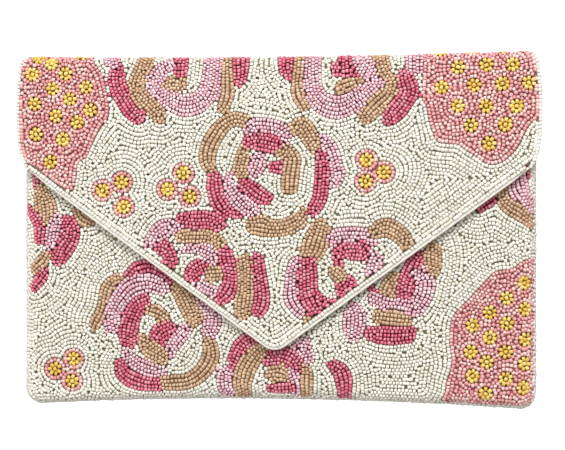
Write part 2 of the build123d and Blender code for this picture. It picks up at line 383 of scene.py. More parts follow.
def vee_curve(inset, step=1.0):
    """Points along the flap's point edge, drawn in by inset, from the left corner to the right."""
    radius = TIP_RADIUS - inset
    start = np.array([radius * math.sin(VEE), TIP_Z - radius * math.cos(VEE)])
    reach = (flap_side_width(FLAP_CORNER_Z) - 0.5 * inset - start[0]) / math.cos(VEE)
    along = np.linspace(0, reach, int(reach / step))[1:, None]
    right = start + along * np.array([math.cos(VEE), math.sin(VEE)])
    angle = np.linspace(-VEE, VEE, max(3, int(2 * VEE * radius / step)))
    tip = np.stack([radius * np.sin(angle), TIP_Z - radius * np.cos(angle)], -1)
    return np.vstack([right[::-1] * (-1, 1), tip, right])


def flap_half_width(p, inset=0.0):
    """Half the flap's width at a height, drawn in by inset along the point."""
    radius = TIP_RADIUS - inset
    low = TIP_Z - radius
    round_tip = np.sqrt(np.maximum(radius**2 - (TIP_Z - np.clip(p, low, TIP_Z)) ** 2, 0))
    straight = (p - VEE_Z - inset / math.cos(VEE)) / VEE_RISE
    tangent_p = TIP_Z - radius * math.cos(VEE)
    return np.minimum(np.where(p < tangent_p, round_tip, straight), flap_side_width(p))


class Sheet:
    """A beaded sheet: its surface, the side that faces out, and where its beads may lie."""

    def __init__(self, name, surface, facing, room, border, low, high):
        self.name = name
        self.surface = surface
        self.facing = facing
        self.room = room
        self.border = border  # width of the plain rows along its edge
        self.low = low
        self.high = high

    def at(self, x, p, depth=0.0):
        """Points below the outer face, the two directions along the sheet, and the way out."""
        step = 0.05
        point = self.surface(x, p)
        along_x = (self.surface(x + step, p) - self.surface(x - step, p)) / (2 * step)
        along_p = (self.surface(x, p + step) - self.surface(x, p - step)) / (2 * step)
        out = self.facing * np.cross(along_x, along_p)
        out /= np.linalg.norm(out, axis=-1, keepdims=True)
        return point - out * np.asarray(depth)[..., None], along_x, along_p, out


def front_room(x, p):
    """Distance from the edge of the front panel's bead field."""
    top = np.where(np.abs(x) < BINDING_HALF, BINDING_Z, MOUTH_Z)
    snap = np.hypot(x, p - SNAP_Z) - SNAP_CLEARING
    return np.minimum(np.minimum(rim_inset(x, p)[0], top - p), snap)


def back_room(x, p):
    """Distance from the edge of the back panel's bead field."""
    side = back_half_width(p) - np.abs(x) - SIDE_ROWS * rim_fade(p)
    low = np.where(p < HALF_SEAM / 2, rim_inset(x, p)[0], FAR)
    return np.minimum(np.minimum(side, low), RIDGE - RIDGE_ROW - p)


def flap_room(x, p):
    """Distance from the edge of the flap's bead field."""
    side = flap_side_width(p) - np.abs(x) - SIDE_ROWS
    return np.minimum(np.minimum(side, vee_inset(x, p) - EDGE_ROW - ROW / 2), RIDGE - RIDGE_ROW - p)


FRONT = Sheet("front", front_surface, 1, front_room, PLAIN_EDGE, -ROLL, MOUTH_Z)
BACK = Sheet("back", back_surface, -1, back_room, PLAIN_EDGE, -ROLL, RIDGE)
FLAP = Sheet("flap", flap_surface, 1, flap_room, 0.0, VEE_Z, RIDGE)
COLOURS = ("cream", "salmon", "light", "hot", "tan", "yellow")
CREAM = COLOURS.index("cream")

# ---------------------------------------------------------------- the pattern
# Petals are strips: points along the middle of a petal as (x, height, width), in the order
# they lie over each other. Outlines and flowers are (x, height).

TOP_ROSES = [
    ("hot", (-79, 166, 3), (-80.5, 160, 8), (-79, 154, 9.5), (-76, 149, 10), (-73, 144, 9.5),
     (-69, 140, 6)),
    ("tan", (-66, 180, 9), (-66, 170, 9), (-68, 164, 7.5), (-71, 158, 7), (-69.5, 152, 8), (-65, 147, 9.5),
     (-60, 142, 8), (-59, 139, 4)),
    ("light", (-84, 182, 10), (-83, 170, 8), (-82, 166.5, 5)),
    ("light", (-54, 168, 5), (-60, 163, 6), (-62, 158, 7), (-59, 153, 8), (-53, 148.5, 10),
     (-46, 146.5, 12), (-39, 149, 11), (-35, 155, 9.5), (-33.5, 162, 9), (-33, 171, 9), (-34, 182, 9)),
    ("tan", (-57, 157, 4), (-52.5, 158, 8.5), (-48, 157, 5)),
    ("hot", (-49, 182, 8), (-48.5, 170, 6.5), (-49, 164, 6.5), (-49, 162, 3)),
    ("tan", (-26.5, 182, 7), (-26.5, 171, 6), (-26, 160, 6.5), (-26, 152, 7), (-27.5, 146.5, 6),
     (-29.5, 144, 3)),
    ("hot", (-19, 181, 9), (-19.5, 171, 9), (-19.5, 164, 8), (-20, 159, 5), (-20.5, 156.5, 2.5)),
    ("hot", (2, 181, 9), (2.8, 171, 8), (2.8, 166, 7.5), (3.8, 161.5, 4)),
    ("tan", (10, 182, 6), (9.5, 171, 6), (8.5, 160, 6), (9, 152, 7), (11.5, 146.5, 6)),
    ("light", (16, 182, 8), (15.5, 171, 8), (15.5, 160, 9), (17, 152, 10), (22, 147, 11.5),
     (29, 145.5, 12), (36, 148.5, 10), (42, 153.5, 8), (47, 158.5, 7), (45, 163, 8), (41, 168, 9),
     (38, 181, 9)),
    ("hot", (27.5, 165, 6), (32, 165, 9), (36, 163, 5)),
    ("hot", (31, 181, 7), (32, 171, 7), (32, 166, 8)),
    ("tan", (30.5, 156, 7), (36, 158, 6.5), (42, 159.5, 2.5)),
    ("tan", (48, 181, 9), (49, 171, 8), (51, 164, 6.5), (54.5, 158, 6.5), (53, 152, 10), (48, 147, 11),
     (43.5, 142.5, 9), (42, 139.5, 5)),
    ("hot", (61, 163.5, 4), (62.5, 158, 10), (63.5, 153, 9.5), (60.5, 148, 9.5), (57, 143.5, 10),
     (53.5, 139.5, 7)),
    ("light", (67, 181, 10), (66, 171, 9), (66, 165.5, 7)),
]

CENTRE_ROSE = [
    ("tan", (-17.5, 138.5, 6), (-22.5, 139.5, 7.5), (-28, 136.5, 8), (-32.5, 130.5, 8.5), (-35.5, 124, 9),
     (-35.5, 118, 8), (-33.5, 114.5, 4)),
    ("tan", (-18, 126, 4), (-18.5, 121, 7), (-20, 115, 7), (-18.5, 112, 4)),
    ("light", (-16, 133.5, 4), (-13, 137, 6), (-6, 137, 5.5), (0, 135.5, 5.5), (3.5, 131.5, 4),
     (2.5, 129, 3)),
    ("hot", (-15, 128.5, 7), (-9, 128.5, 9), (-3, 127, 9), (1, 127, 4)),
    ("light", (-9.5, 121.5, 5), (-11, 117, 8.5), (-13, 112.5, 5)),
    ("hot", (-4, 116, 5), (0, 116, 7)),
    ("tan", (-1, 123, 3.5), (3, 124.5, 5), (6, 120, 8.5), (5, 113, 9), (4.5, 106.5, 8.5)),
    ("tan", (7, 135, 7), (11, 136, 9), (15, 130, 9), (17, 125, 5)),
    ("light", (22, 129, 6), (25, 124, 8), (27, 118, 6), (28.5, 112, 7), (26, 107.5, 4)),
    ("hot", (20, 123, 5), (20.8, 116, 7), (20.3, 108, 7), (19.5, 101, 7), (17, 96, 7), (15, 94, 4)),
    ("hot", (-32, 113, 3), (-32.5, 108, 8), (-31.5, 102, 8.5), (-28.5, 96.5, 9), (-24, 93, 5.5),
     (-20, 92.5, 3)),
    ("light", (-25, 112, 3), (-26, 107, 6), (-23, 102, 8), (-19, 97.5, 8), (-14.5, 94.5, 6),
     (-10.5, 95.5, 3)),
    ("hot", (-19, 109.5, 3.5), (-15.5, 106.5, 8), (-10.5, 102.5, 8.5), (-6.5, 100.5, 5), (-4.5, 102, 3)),
    ("tan", (-13, 87.5, 8), (-9.5, 87.5, 11), (-4, 86, 8), (2, 86.5, 7), (8, 89, 7.5), (10.8, 92.5, 5),
     (11.3, 96, 2)),
]

LOW_LEFT_ROSE = [
    ("light", (-64.5, 78, 5), (-61, 83, 8), (-55.5, 86.5, 9), (-50.5, 86, 4)),
    ("hot", (-62, 77, 3), (-56.5, 76, 8.5), (-54, 71, 6), (-53, 66.5, 2.5)),
    ("hot", (-48, 90.5, 6), (-43, 90, 9), (-36, 90, 9), (-30.5, 88.5, 7), (-28, 87, 3)),
    ("tan", (-48.5, 82, 6), (-42, 82.5, 7.5), (-35, 82, 7), (-29.5, 79, 6), (-28.5, 76.5, 3)),
    ("light", (-49, 75, 2), (-44, 76.5, 5), (-38, 76, 7), (-33, 73, 6.5), (-32, 70, 3)),
    ("hot", (-37, 68.5, 3), (-41.5, 66.5, 8), (-44, 62.5, 6), (-41, 59.5, 4)),
    ("tan", (-35.5, 63.5, 4), (-32, 64, 8), (-28.5, 64, 4)),
    ("light", (-40.5, 59, 4), (-37, 57, 6), (-33.5, 55.5, 5)),
    ("hot", (-27, 76, 4), (-26.5, 71, 8.5), (-24.5, 65, 7), (-24.5, 59, 8), (-27, 54, 9),
     (-29.5, 51.5, 5)),
    ("tan", (-18, 71.5, 4), (-17.5, 65, 6), (-17, 57, 7.5), (-18, 50, 10), (-18.5, 45, 7), (-18, 42, 3)),
    ("hot", (-11.5, 72.5, 4), (-11, 67, 7.5), (-10, 60, 7.5), (-9, 53, 8), (-10, 47.5, 8.5),
     (-11.5, 44.5, 4)),
]

LOW_RIGHT_ROSE = [
    ("tan", (20.3, 87.5, 6), (18.5, 82, 12), (16.5, 76, 13), (14.5, 72, 9)),
    ("light", (25.5, 77, 4), (26, 82, 6), (31, 83.5, 6), (38, 83.5, 6.5), (44, 82.5, 5),
     (45, 78.5, 3.5)),
    ("hot", (29, 69, 5), (29, 73.5, 6), (34, 75, 9), (40, 74.5, 9), (43.5, 73, 5)),
    ("tan", (46.5, 84, 6), (51.5, 86.5, 9), (57.5, 84, 9), (62, 79, 6.5), (61.5, 75.5, 3)),
    ("light", (45.5, 74.5, 3), (47, 70.5, 6), (46, 66.5, 7), (43, 63, 3)),
    ("tan", (25.5, 66, 4), (28.5, 63.5, 8), (31, 60.5, 4)),
    ("hot", (34.5, 61, 4), (33.5, 57.5, 8), (30.5, 55.5, 7), (31, 53, 3)),
    ("light", (12.5, 69.5, 3), (7.5, 69.5, 5), (5.5, 65, 4.5), (5, 59, 5), (5, 52, 7), (8, 46.5, 6),
     (12, 43.5, 3)),
    ("hot", (13.5, 68.5, 8), (13.8, 62, 9.5), (14, 55, 9.5), (16.5, 49.5, 11), (19, 45.5, 7)),
    ("hot", (19, 50.5, 5), (24, 49.5, 4.5), (27, 49, 3)),
    ("tan", (13.5, 41.5, 5), (13.5, 38.5, 3)),
]

BODY_PETALS = [
    # right of the flap
    ("tan", (75.5, 78, 5), (75, 72, 9.5), (75.5, 66.5, 7), (77, 63.5, 3)),
    ("hot", (68, 72, 6), (65.5, 67.5, 9), (62, 61, 7.5), (60.5, 55.5, 7.5), (61.5, 51, 4)),
    ("tan", (57, 63, 3), (54, 58.5, 8), (52, 54, 8), (52.5, 52, 4)),
    ("light", (66.5, 63.5, 5), (71, 60.5, 10), (71, 54.5, 10), (68, 48.5, 9), (66, 44, 4)),
    ("light", (46, 51, 7), (52, 48.5, 7), (58, 48, 8), (63, 47, 8)),
    ("tan", (48, 42.5, 6), (55, 42, 8), (62, 41, 6)),
    ("hot", (43.5, 34, 6), (49, 33.5, 9), (56, 33, 9), (62.5, 33.5, 8)),
    ("light", (34.5, 48, 3), (36.5, 43, 11), (36, 37, 11), (35.5, 32.5, 4)),
    ("hot", (44, 57.5, 4), (45, 56, 3)),
    # the right edge
    ("hot", (118, 122, 8), (120, 117, 9), (121, 112, 7)),
    ("light", (117, 112, 9), (118, 106, 11), (121, 100.5, 9), (125, 96, 6)),
    ("tan", (109, 107, 5), (109.5, 101, 6.5), (113, 97, 7.5), (118, 94, 8), (123, 90.5, 6.5),
     (127, 88, 5)),
    ("hot", (97.5, 94.5, 2.5), (101, 97, 4), (104.5, 99, 4.5), (107, 101, 3)),
    # the left edge
    ("hot", (-122, 114, 6), (-121, 108, 6)),
    ("tan", (-120, 106, 5), (-118, 100, 10), (-117, 95, 12), (-117, 91.5, 9)),
    ("hot", (-127, 95, 6), (-122, 90, 6), (-120.5, 86, 6.5), (-120.5, 80.5, 5.5)),
    ("light", (-112, 91.5, 5), (-113, 87, 7), (-114, 82, 7), (-115, 78.5, 5)),
    ("hot", (-107, 90.5, 4), (-104.5, 86, 9), (-105, 80.5, 9.5), (-108.5, 75.5, 11), (-110.5, 71, 7)),
    ("tan", (-116.5, 73, 3), (-119, 69.5, 7), (-123, 66, 5)),
    ("hot", (-117, 65, 3), (-119.5, 61.5, 6.5), (-123, 57, 5)),
    ("tan", (-101, 95.5, 4), (-99, 91, 7), (-95, 89, 5)),
]

BIG_ROSE = [
    ("tan", (-78, 61.5, 3), (-82.5, 61, 5), (-86.5, 56.5, 6), (-88, 50, 5.5), (-89.5, 44, 6),
     (-92, 39.5, 6.5), (-93, 37, 3)),
    ("hot", (-75.5, 62.5, 5), (-71.5, 66, 7), (-65, 67.5, 6.5), (-58.5, 64.5, 6), (-53, 60, 5),
     (-50, 59, 2)),
    ("light", (-83.5, 38, 8), (-84, 43, 8), (-80.5, 50, 9.5), (-74.5, 57, 11), (-66, 59, 10),
     (-59.5, 57, 7), (-56, 57, 3)),
    ("hot", (-66, 50, 4), (-71, 47.5, 9), (-74.5, 41, 9.5), (-76, 35, 10), (-76, 29.5, 6)),
    ("tan", (-65.5, 46, 5), (-61.5, 45, 7), (-57, 42, 4)),
    ("tan", (-52, 57.5, 4), (-49, 54, 9), (-46, 47.5, 9.5), (-43.5, 41.5, 7), (-44, 38, 3)),
    ("light", (-41.5, 53, 4), (-38, 49.5, 6), (-34.5, 44, 8.5), (-34.5, 38, 9), (-36, 34.5, 5)),
    ("hot", (-62.5, 31, 5), (-59.5, 34.5, 10.5), (-55, 37, 6)),
    ("tan", (-68.5, 31.5, 5), (-66, 27.5, 9), (-61, 24, 8), (-58, 21.5, 4)),
    ("light", (-45.5, 36.5, 3.5), (-48.5, 34.5, 7), (-52.5, 30, 7.5), (-55, 25.5, 5), (-54, 23, 3)),
    ("tan", (-37, 32, 3), (-35, 27, 7.5), (-35.5, 21, 9), (-39.5, 15, 8.5), (-46, 10.5, 8),
     (-53, 9.5, 8.5), (-58.5, 9.5, 7)),
    ("light", (-77, 26, 4.5), (-76, 22.5, 6), (-71, 18.5, 7), (-64.5, 16, 7.5), (-59, 15.5, 5.5)),
    ("hot", (-79, 20, 4), (-79.5, 15.5, 7), (-75, 11.5, 8.5), (-68, 9, 8), (-62.5, 8.5, 6.5)),
]

BOTTOM_ROSE = [
    ("hot", (-11.5, 31.5, 3), (-16, 31.5, 7), (-20.5, 27, 8), (-23, 22, 6.5), (-24.5, 18.5, 3)),
    ("tan", (-4, 30, 3), (-9, 27.5, 7), (-13.5, 23, 9.5), (-17.5, 17, 10.5), (-19.5, 10, 10),
     (-19, 4, 8)),
    ("light", (-27, 17.5, 3), (-28.5, 12.5, 7.5), (-28, 7, 7.5), (-26, 3, 4)),
    ("hot", (-6, 18.5, 4), (-5.5, 22.5, 6), (-1, 24, 8), (4, 22.5, 8), (8, 19, 6), (8.5, 16.5, 3)),
    ("tan", (-6.5, 14, 5), (-2, 14.5, 9), (2.5, 13.5, 7)),
    ("light", (4.5, 16, 3), (5.5, 12, 4), (7, 8, 4.5), (7, 4, 4.5)),
    ("hot", (-5.5, 6.5, 4.5), (-1, 6.5, 5.5), (4, 7, 5)),
    ("tan", (12, 19.5, 4), (12.5, 15, 6), (12.5, 9, 6.5), (12.5, 4, 6)),
    ("light", (13, 31, 3), (11, 27, 8), (13.5, 23, 6.5), (13, 20, 4)),
    ("light", (11, 27, 4), (7, 27.5, 4)),
    ("hot", (23.5, 18.5, 3), (28, 17, 7), (30.5, 13, 9), (31.2, 8, 8), (31.2, 2, 6.5)),
]

# Patches of salmon pink, each with its outline and its yellow flowers
LEFT_PATCH = (
    ((-92, 190), (-92, 169), (-89, 165), (-86.5, 159), (-85, 152), (-84, 146), (-84.5, 140), (-87, 137),
     (-91, 130), (-93, 126), (-95, 121), (-98, 119), (-100, 117), (-101, 107), (-103, 104), (-107, 106),
     (-112, 109), (-117, 114), (-124, 118), (-140, 124), (-140, 190)),
    ((-119, 170), (-112.5, 167), (-122, 161.5), (-105.5, 162), (-95.5, 155.5), (-112, 154.5),
     (-103.5, 149.5), (-121, 147), (-93.5, 144), (-110.5, 141), (-100, 138), (-120.5, 132), (-107, 129.5),
     (-113.5, 118.5), (-98, 173), (-108, 177)),
)
RIGHT_PATCH = (
    ((70, 190), (70, 170), (70, 160), (69.5, 151), (72, 146), (73, 140), (75, 133), (77, 128.5),
     (82, 127.5), (88, 127), (91, 124.5), (95, 122), (99, 119.5), (103, 117.3), (107, 117.5), (111, 119.5),
     (115, 123), (118, 127), (120, 131), (122, 135), (126, 139), (140, 143), (140, 190)),
    ((87.5, 165.5), (101.5, 166.5), (114.5, 166.5), (79.5, 155.5), (95.5, 156.5), (109.5, 157),
     (122.5, 157.5), (87.5, 146), (101.5, 146), (116.5, 146), (94, 136.5), (111, 137), (103, 127.5),
     (79, 175), (94, 177), (109, 177)),
)
LOW_PATCH = (
    ((140, 73), (125, 71), (120, 70), (115, 66), (110, 65.5), (105, 64), (101, 59.5), (97, 55.5), (92, 50),
     (86, 44), (84, 38), (83.5, 30), (84.5, 22), (84, 16), (82.5, 12), (81.5, 6), (83, -9), (140, -9)),
    ((121, 59), (112, 51.5), (121.5, 46), (103.5, 44.5), (95, 38), (112, 39), (103.5, 32), (121.5, 31),
     (94, 25), (111.5, 25), (102, 20), (121, 19), (95, 13), (111.5, 11.5), (120.5, 7), (101.5, 4)),
)
FLAP_CLUSTERS = [
    (-87.5, 104.5), (-78, 108.5), (-77, 96.5), (-47.5, 113), (-55.5, 105), (-44.5, 101.5),
    (42.5, 119.5), (51, 113.5), (42, 109),
]  # fmt: skip
BODY_CLUSTER = [(-103, 21.5), (-112.5, 16.5), (-104, 10.5)]


# The pattern was set in a view a little from the right: where that view's own middle lies
# in x and in height, the height it was set at, and how much larger things look for each
# millimetre to the right, across and in height
VIEW_X, VIEW_Z = 2.9, 88.7
SET_Z = 86.0
SLANT_X, SLANT_Z = 1.45e-4, 1.4e-4


def squared(points):
    """Puts listed points in the bag's frame, less the slant of the view they were set in."""
    points = np.array(points, float)
    x = points[:, 0]
    points[:, 1] = VIEW_Z + (points[:, 1] - SET_Z) * (1 - SLANT_Z * x)
    points[:, 0] = VIEW_X + x * (1 - SLANT_X * x)
    return points


def smooth_line(points, step=0.6):
    """A smooth line through given points, whatever columns they have."""
    ends = np.vstack([2 * points[0] - points[1], points, 2 * points[-1] - points[-2]])
    runs = []
    for before, start, end, after in zip(ends, ends[1:], ends[2:], ends[3:]):
        count = max(2, int(np.hypot(*(end - start)[:2]) / step))
        t = (np.arange(count) / count)[:, None]
        bend = (2 * before - 5 * start + 4 * end - after) * t**2
        bend += (3 * start - before - 3 * end + after) * t**3
        runs.append(start + 0.5 * ((end - before) * t + bend))
    return np.vstack([*runs, points[-1:]])


def petal_lines(petals):
    return [(colour, smooth_line(squared(points))) for colour, *points in petals]


def mirrored(petals):
    """Smoothed petals, swapped left for right."""
    return [(colour, line * (-1, 1, 1)) for colour, line in petals]


def patch_points(patch, side=1):
    """A patch's smoothed outline and its flowers, swapped left for right where side is -1."""
    outline, flowers = patch
    return smooth_line(squared(outline), 3.0) * (side, 1), squared(flowers) * (side, 1)


# ---------------------------------------------------------------- laying out the beads

GRID = 0.5
GROUND, PATCH, YELLOW, FIRST_PETAL = range(4)  # what may own a point of the grid
CELL = 2.0  # beads are looked up by squares of this size
PETAL_GIVE = 0.4  # how freely the beads of a petal, and of a row, are pushed aside
ROW_GIVE = 0.6
PETAL_GAP = 1.38  # as BEAD_GAP, but for the rows of a petal
RING = 2.5  # a flower's middle to the beads round it
TIP_SHARE = 0.72  # how far apart a petal's rows stay at its tips, against its widest place
SHORTNESS = 0.29  # how much more a gap along a bead's thread counts
USUAL_SPACING = 2.06  # a bead to its five nearest neighbours, on average


def cell_of(x, p):
    return int(x // CELL), int(p // CELL)


def tree_of(place):
    """A tree that finds the beads near a place."""
    tree = kdtree.KDTree(len(place))
    for number, (x, p) in enumerate(place):
        tree.insert((x, p, 0), number)
    tree.balance()
    return tree


class Layout:
    """The pattern of one sheet, and its beads laid row by row so that none lies on another."""

    def __init__(self, sheet, petals, patches, clusters):
        self.sheet = sheet
        self.left = -HALF_SEAM - 2
        self.base = sheet.low - 2
        columns = int((2 * -self.left) / GRID) + 1
        rows = int((sheet.high + 4 - self.base) / GRID) + 1
        self.x = self.left + GRID * np.arange(columns)
        self.p = self.base + GRID * np.arange(rows)
        self.grid_x, self.grid_p = np.meshgrid(self.x, self.p)
        self.room = sheet.room(self.grid_x, self.grid_p)
        # The room with the sheet's top edge left out, for the plain rows along the other edges
        self.edge = sheet.room(self.grid_x, np.minimum(self.grid_p, sheet.high - 12))
        self.colours = ["cream", "salmon", "yellow"] + [colour for colour, _ in petals]  # by owner
        self.owner = np.zeros(self.room.shape, int)
        self.nearest = np.zeros(self.room.shape, int)  # the petal nearest to each point
        self.clear = self.room.copy()  # how far each point is from any petal, patch or edge
        self.patch_depth = np.full(self.room.shape, -FAR)
        self.clusters = clusters
        self.flowers = [flower for _, flowers in patches for flower in flowers]
        self.cells = {}
        self.beads = []
        for outline, flowers in patches:
            depth = self.polygon_depth(outline)
            self.clear = np.minimum(self.clear, -depth)
            depth = np.minimum(depth, self.edge - sheet.border)
            for flower in flowers:
                depth = np.minimum(depth, self.away(flower) - FLOWER)
            self.patch_depth = np.maximum(self.patch_depth, depth)
        self.owner[(self.clear < 0) & (self.edge > sheet.border)] = PATCH
        for number, (_, line) in enumerate(petals, FIRST_PETAL):
            self.paint(number, line)
        self.close_slits()
        for flower in clusters:
            self.clear = np.minimum(self.clear, self.away(flower) - FLOWER - ROW)
            self.owner[self.away(flower) < FLOWER + ROW] = PATCH
        for flower in [*self.flowers, *clusters]:
            self.owner[self.away(flower) < FLOWER] = YELLOW
        self.petals = petals

    def away(self, spot):
        """How far each point of the grid is from a spot."""
        return np.hypot(self.grid_x - spot[0], self.grid_p - spot[1])

    def polygon_depth(self, outline):
        """Distance inside an outline: negative outside it."""
        grid_x, grid_p = self.grid_x, self.grid_p
        near = np.full(grid_x.shape, FAR)
        inside = np.zeros(grid_x.shape, bool)
        for (x0, p0), (x1, p1) in zip(outline, np.roll(outline, -1, 0)):
            run = np.hypot(x1 - x0, p1 - p0) + 1e-9
            t = np.clip(((grid_x - x0) * (x1 - x0) + (grid_p - p0) * (p1 - p0)) / run**2, 0, 1)
            away = np.hypot(grid_x - x0 - t * (x1 - x0), grid_p - p0 - t * (p1 - p0))
            near = np.minimum(near, away)
            if p0 != p1:
                crosses = (grid_p > min(p0, p1)) & (grid_p <= max(p0, p1))
                inside ^= crosses & (grid_x < x0 + (grid_p - p0) * (x1 - x0) / (p1 - p0))
        return np.where(inside, near, -near)

    def paint(self, number, line, reach=26.0):
        """Marks the grid where a petal lies and how near it is elsewhere."""
        low = line[:, :2].min(0) - reach
        high = line[:, :2].max(0) + reach
        columns = slice(*np.searchsorted(self.x, (low[0], high[0])))
        rows = slice(*np.searchsorted(self.p, (low[1], high[1])))
        if columns.start == columns.stop or rows.start == rows.stop:
            return
        x, p = self.grid_x[rows, columns], self.grid_p[rows, columns]
        away = np.full(x.shape, FAR)
        for point_x, point_p, width in line:
            away = np.minimum(away, np.hypot(x - point_x, p - point_p) - width / 2)
        self.nearest[rows, columns][away < self.clear[rows, columns]] = number
        self.clear[rows, columns] = np.minimum(self.clear[rows, columns], away)
        mine = (away < 0) & (self.edge[rows, columns] > self.sheet.border)
        self.owner[rows, columns][mine] = number

    def close_slits(self, wide=1.12, reach=3):
        """Gives ground that is too narrow for a bead to the nearest petal."""
        open_ground = np.pad((self.owner == GROUND) & (self.clear > wide), reach)
        near = np.zeros(self.owner.shape, bool)
        height, width = near.shape
        for i in range(2 * reach + 1):
            for j in range(2 * reach + 1):
                near |= open_ground[i : i + height, j : j + width]
        slit = (self.owner == GROUND) & ~near & (self.clear < wide)
        slit &= self.edge > self.sheet.border
        self.owner[slit] = self.nearest[slit]

    def look(self, grid, x, p):
        """The grid's value nearest to each point."""
        column = np.clip(np.rint((x - self.left) / GRID).astype(int), 0, grid.shape[1] - 1)
        row = np.clip(np.rint((p - self.base) / GRID).astype(int), 0, grid.shape[0] - 1)
        return grid[row, column]

    def lay(self, x, p, angle, colour, give, gap=BEAD_GAP, size=1.0):
        """Adds one bead, if there is room for it. give says how freely its neighbours push it."""
        column, row = cell_of(x, p)
        cells = [(column + i, row + j) for i in (-1, 0, 1) for j in (-1, 0, 1)]
        for other_x, other_p in (spot for cell in cells for spot in self.cells.get(cell, ())):
            if (x - other_x) ** 2 + (p - other_p) ** 2 < gap**2:
                return
        self.cells.setdefault((column, row), []).append((x, p))
        self.beads.append((x, p, angle, float(COLOURS.index(colour)), size, give))

    def lay_row(self, line, colour, wanted, give, gap=BEAD_GAP):
        """Beads along a line, wherever the grid's owner is the wanted one."""
        distances = travelled(line)
        if distances[-1] < BEAD_PITCH:
            return
        at = np.arange(RANDOM.uniform(0.2, 0.8) * BEAD_PITCH, distances[-1], BEAD_PITCH)
        at += RANDOM.uniform(-0.1, 0.1, len(at))
        x, p = points_at(line, distances, at).T
        ahead, behind = (points_at(line, distances, at + step) for step in (0.4, -0.4))
        way_x, way_p = (ahead - behind).T
        angle = np.arctan2(way_p, way_x)
        good = self.look(self.room, x, p) > BEAD / 2 - 0.15
        good &= p > self.base
        good &= self.look(self.owner, x, p) == wanted
        for values in zip(x[good], p[good], angle[good]):
            self.lay(*values, colour, give, gap)

    def lay_flowers(self):
        """Yellow flowers, each a bead in the middle of a ring, and the rings round the loose ones."""
        for x, p in [*self.flowers, *self.clusters]:
            if self.look(self.room, x, p) < -FLOWER:
                continue
            petals = 7 + int(RANDOM.random() < 0.4)
            start = RANDOM.uniform(0, 6.28)
            self.lay_if_room(x, p, start, "yellow", 1.2)
            for turn in np.linspace(0, 2 * math.pi, petals, endpoint=False) + start:
                out = RING + RANDOM.uniform(-0.1, 0.1)
                self.lay_round(x, p, out, turn, "yellow", RANDOM.uniform(1.14, 1.26))
        for x, p in self.clusters:
            out = FLOWER + BEAD / 2 - 0.1
            count = round(2 * math.pi * out / BEAD_PITCH)
            for turn in np.linspace(0, 2 * math.pi, count, endpoint=False):
                self.lay_round(x, p, out, turn, "salmon", 1.0)

    def lay_round(self, x, p, out, turn, colour, size):
        """One bead of a ring: turn says which way it lies from the ring's middle."""
        spot = (x + out * math.cos(turn), p + out * math.sin(turn))
        self.lay_if_room(*spot, turn + math.pi / 2, colour, size)

    def lay_if_room(self, x, p, angle, colour, size):
        if self.look(self.room, x, p) > BEAD / 2 - 0.3:
            self.lay(x, p, angle, colour, 0, 1.4, size)

    def lay_petals(self):
        """Rows along each petal: the two along its sides, then the ones between them."""
        for number, (colour, line) in enumerate(self.petals, FIRST_PETAL):
            middle = line[:, :2]
            reach = np.arange(1, 10)[:, None] * 0.6  # steps beyond either end
            before = middle[0] + reach[::-1] * unit(middle[0] - middle[2])
            after = middle[-1] + reach * unit(middle[-1] - middle[-3])
            middle = np.vstack([before, middle, after])
            along = unit(np.gradient(middle, axis=0))
            across = np.stack([-along[:, 1], along[:, 0]], -1)
            width = np.pad(line[:, 2], len(reach), mode="edge")
            gaps = max(1, round((width.max() - BEAD) / ROW))
            half = np.maximum(width - BEAD, TIP_SHARE * (width.max() - BEAD))[:, None] / 2
            places = np.arange(-gaps - 2, gaps + 3, 2) / gaps
            for place in sorted(places, key=lambda place: (abs(place) > 1, -abs(place))):
                self.lay_row(middle + across * place * half, colour, number, PETAL_GIVE, PETAL_GAP)

    def settle(self, rounds=10, apart=2.0, reach=2.8, most=0.2):
        """Lets crowded beads push their neighbours into the holes, as beads on cloth do.

        A bead is shorter along its thread than across it, so a gap that way counts for more.
        """
        beads = np.array(self.beads)
        place = beads[:, :2].copy()
        tree = tree_of(place)
        pairs = [
            (number, other)
            for number, (x, p) in enumerate(place)
            for _, other, _ in tree.find_range((x, p, 0), reach)
            if other > number
        ]
        first, second = np.array(pairs).T
        give = beads[:, 5][:, None]
        axis = np.stack([np.cos(beads[:, 2]), np.sin(beads[:, 2])], -1)
        share = give[first] / np.maximum(give[first] + give[second], 1e-6)
        for _ in range(rounds):
            between = place[second] - place[first]
            along = sum((between * axis[ends]).sum(1) ** 2 for ends in (first, second)) / 2
            away = np.sqrt((between**2).sum(1) + SHORTNESS * along)[:, None] + 1e-6
            push = between / away * np.maximum(apart - away, 0) * 0.5
            move = np.zeros_like(place)
            np.add.at(move, first, -push * share)
            np.add.at(move, second, push * (1 - share))
            tried = place + np.clip(move, -most, most) * np.minimum(give, 1)
            room = self.look(self.room, *tried.T)
            held = room < np.minimum(self.look(self.room, *place.T), BEAD / 2 - 0.1)
            held |= tried[:, 1] < self.sheet.low
            place = np.where(held[:, None], place, tried)
        beads[:, :2] = place
        self.beads = [tuple(bead) for bead in beads]
        self.cells = {}
        for x, p in place:
            self.cells.setdefault(cell_of(x, p), []).append((x, p))

    def fit_sizes(self):
        """Sews the fuller beads where there is more room, and the finer ones where there is less."""
        tree = tree_of(np.array(self.beads)[:, :2])
        beads = []
        for x, p, angle, colour, size, give in self.beads:
            near = [away for _, _, away in tree.find_n((x, p, 0), 6)]
            room = sum(near[1:]) / 5 / USUAL_SPACING
            fit = min(max(room, 0.9), 1.12) if COLOURS[int(colour)] != "yellow" else 1.0
            beads.append((x, p, angle, colour, size * fit, give))
        self.beads = beads

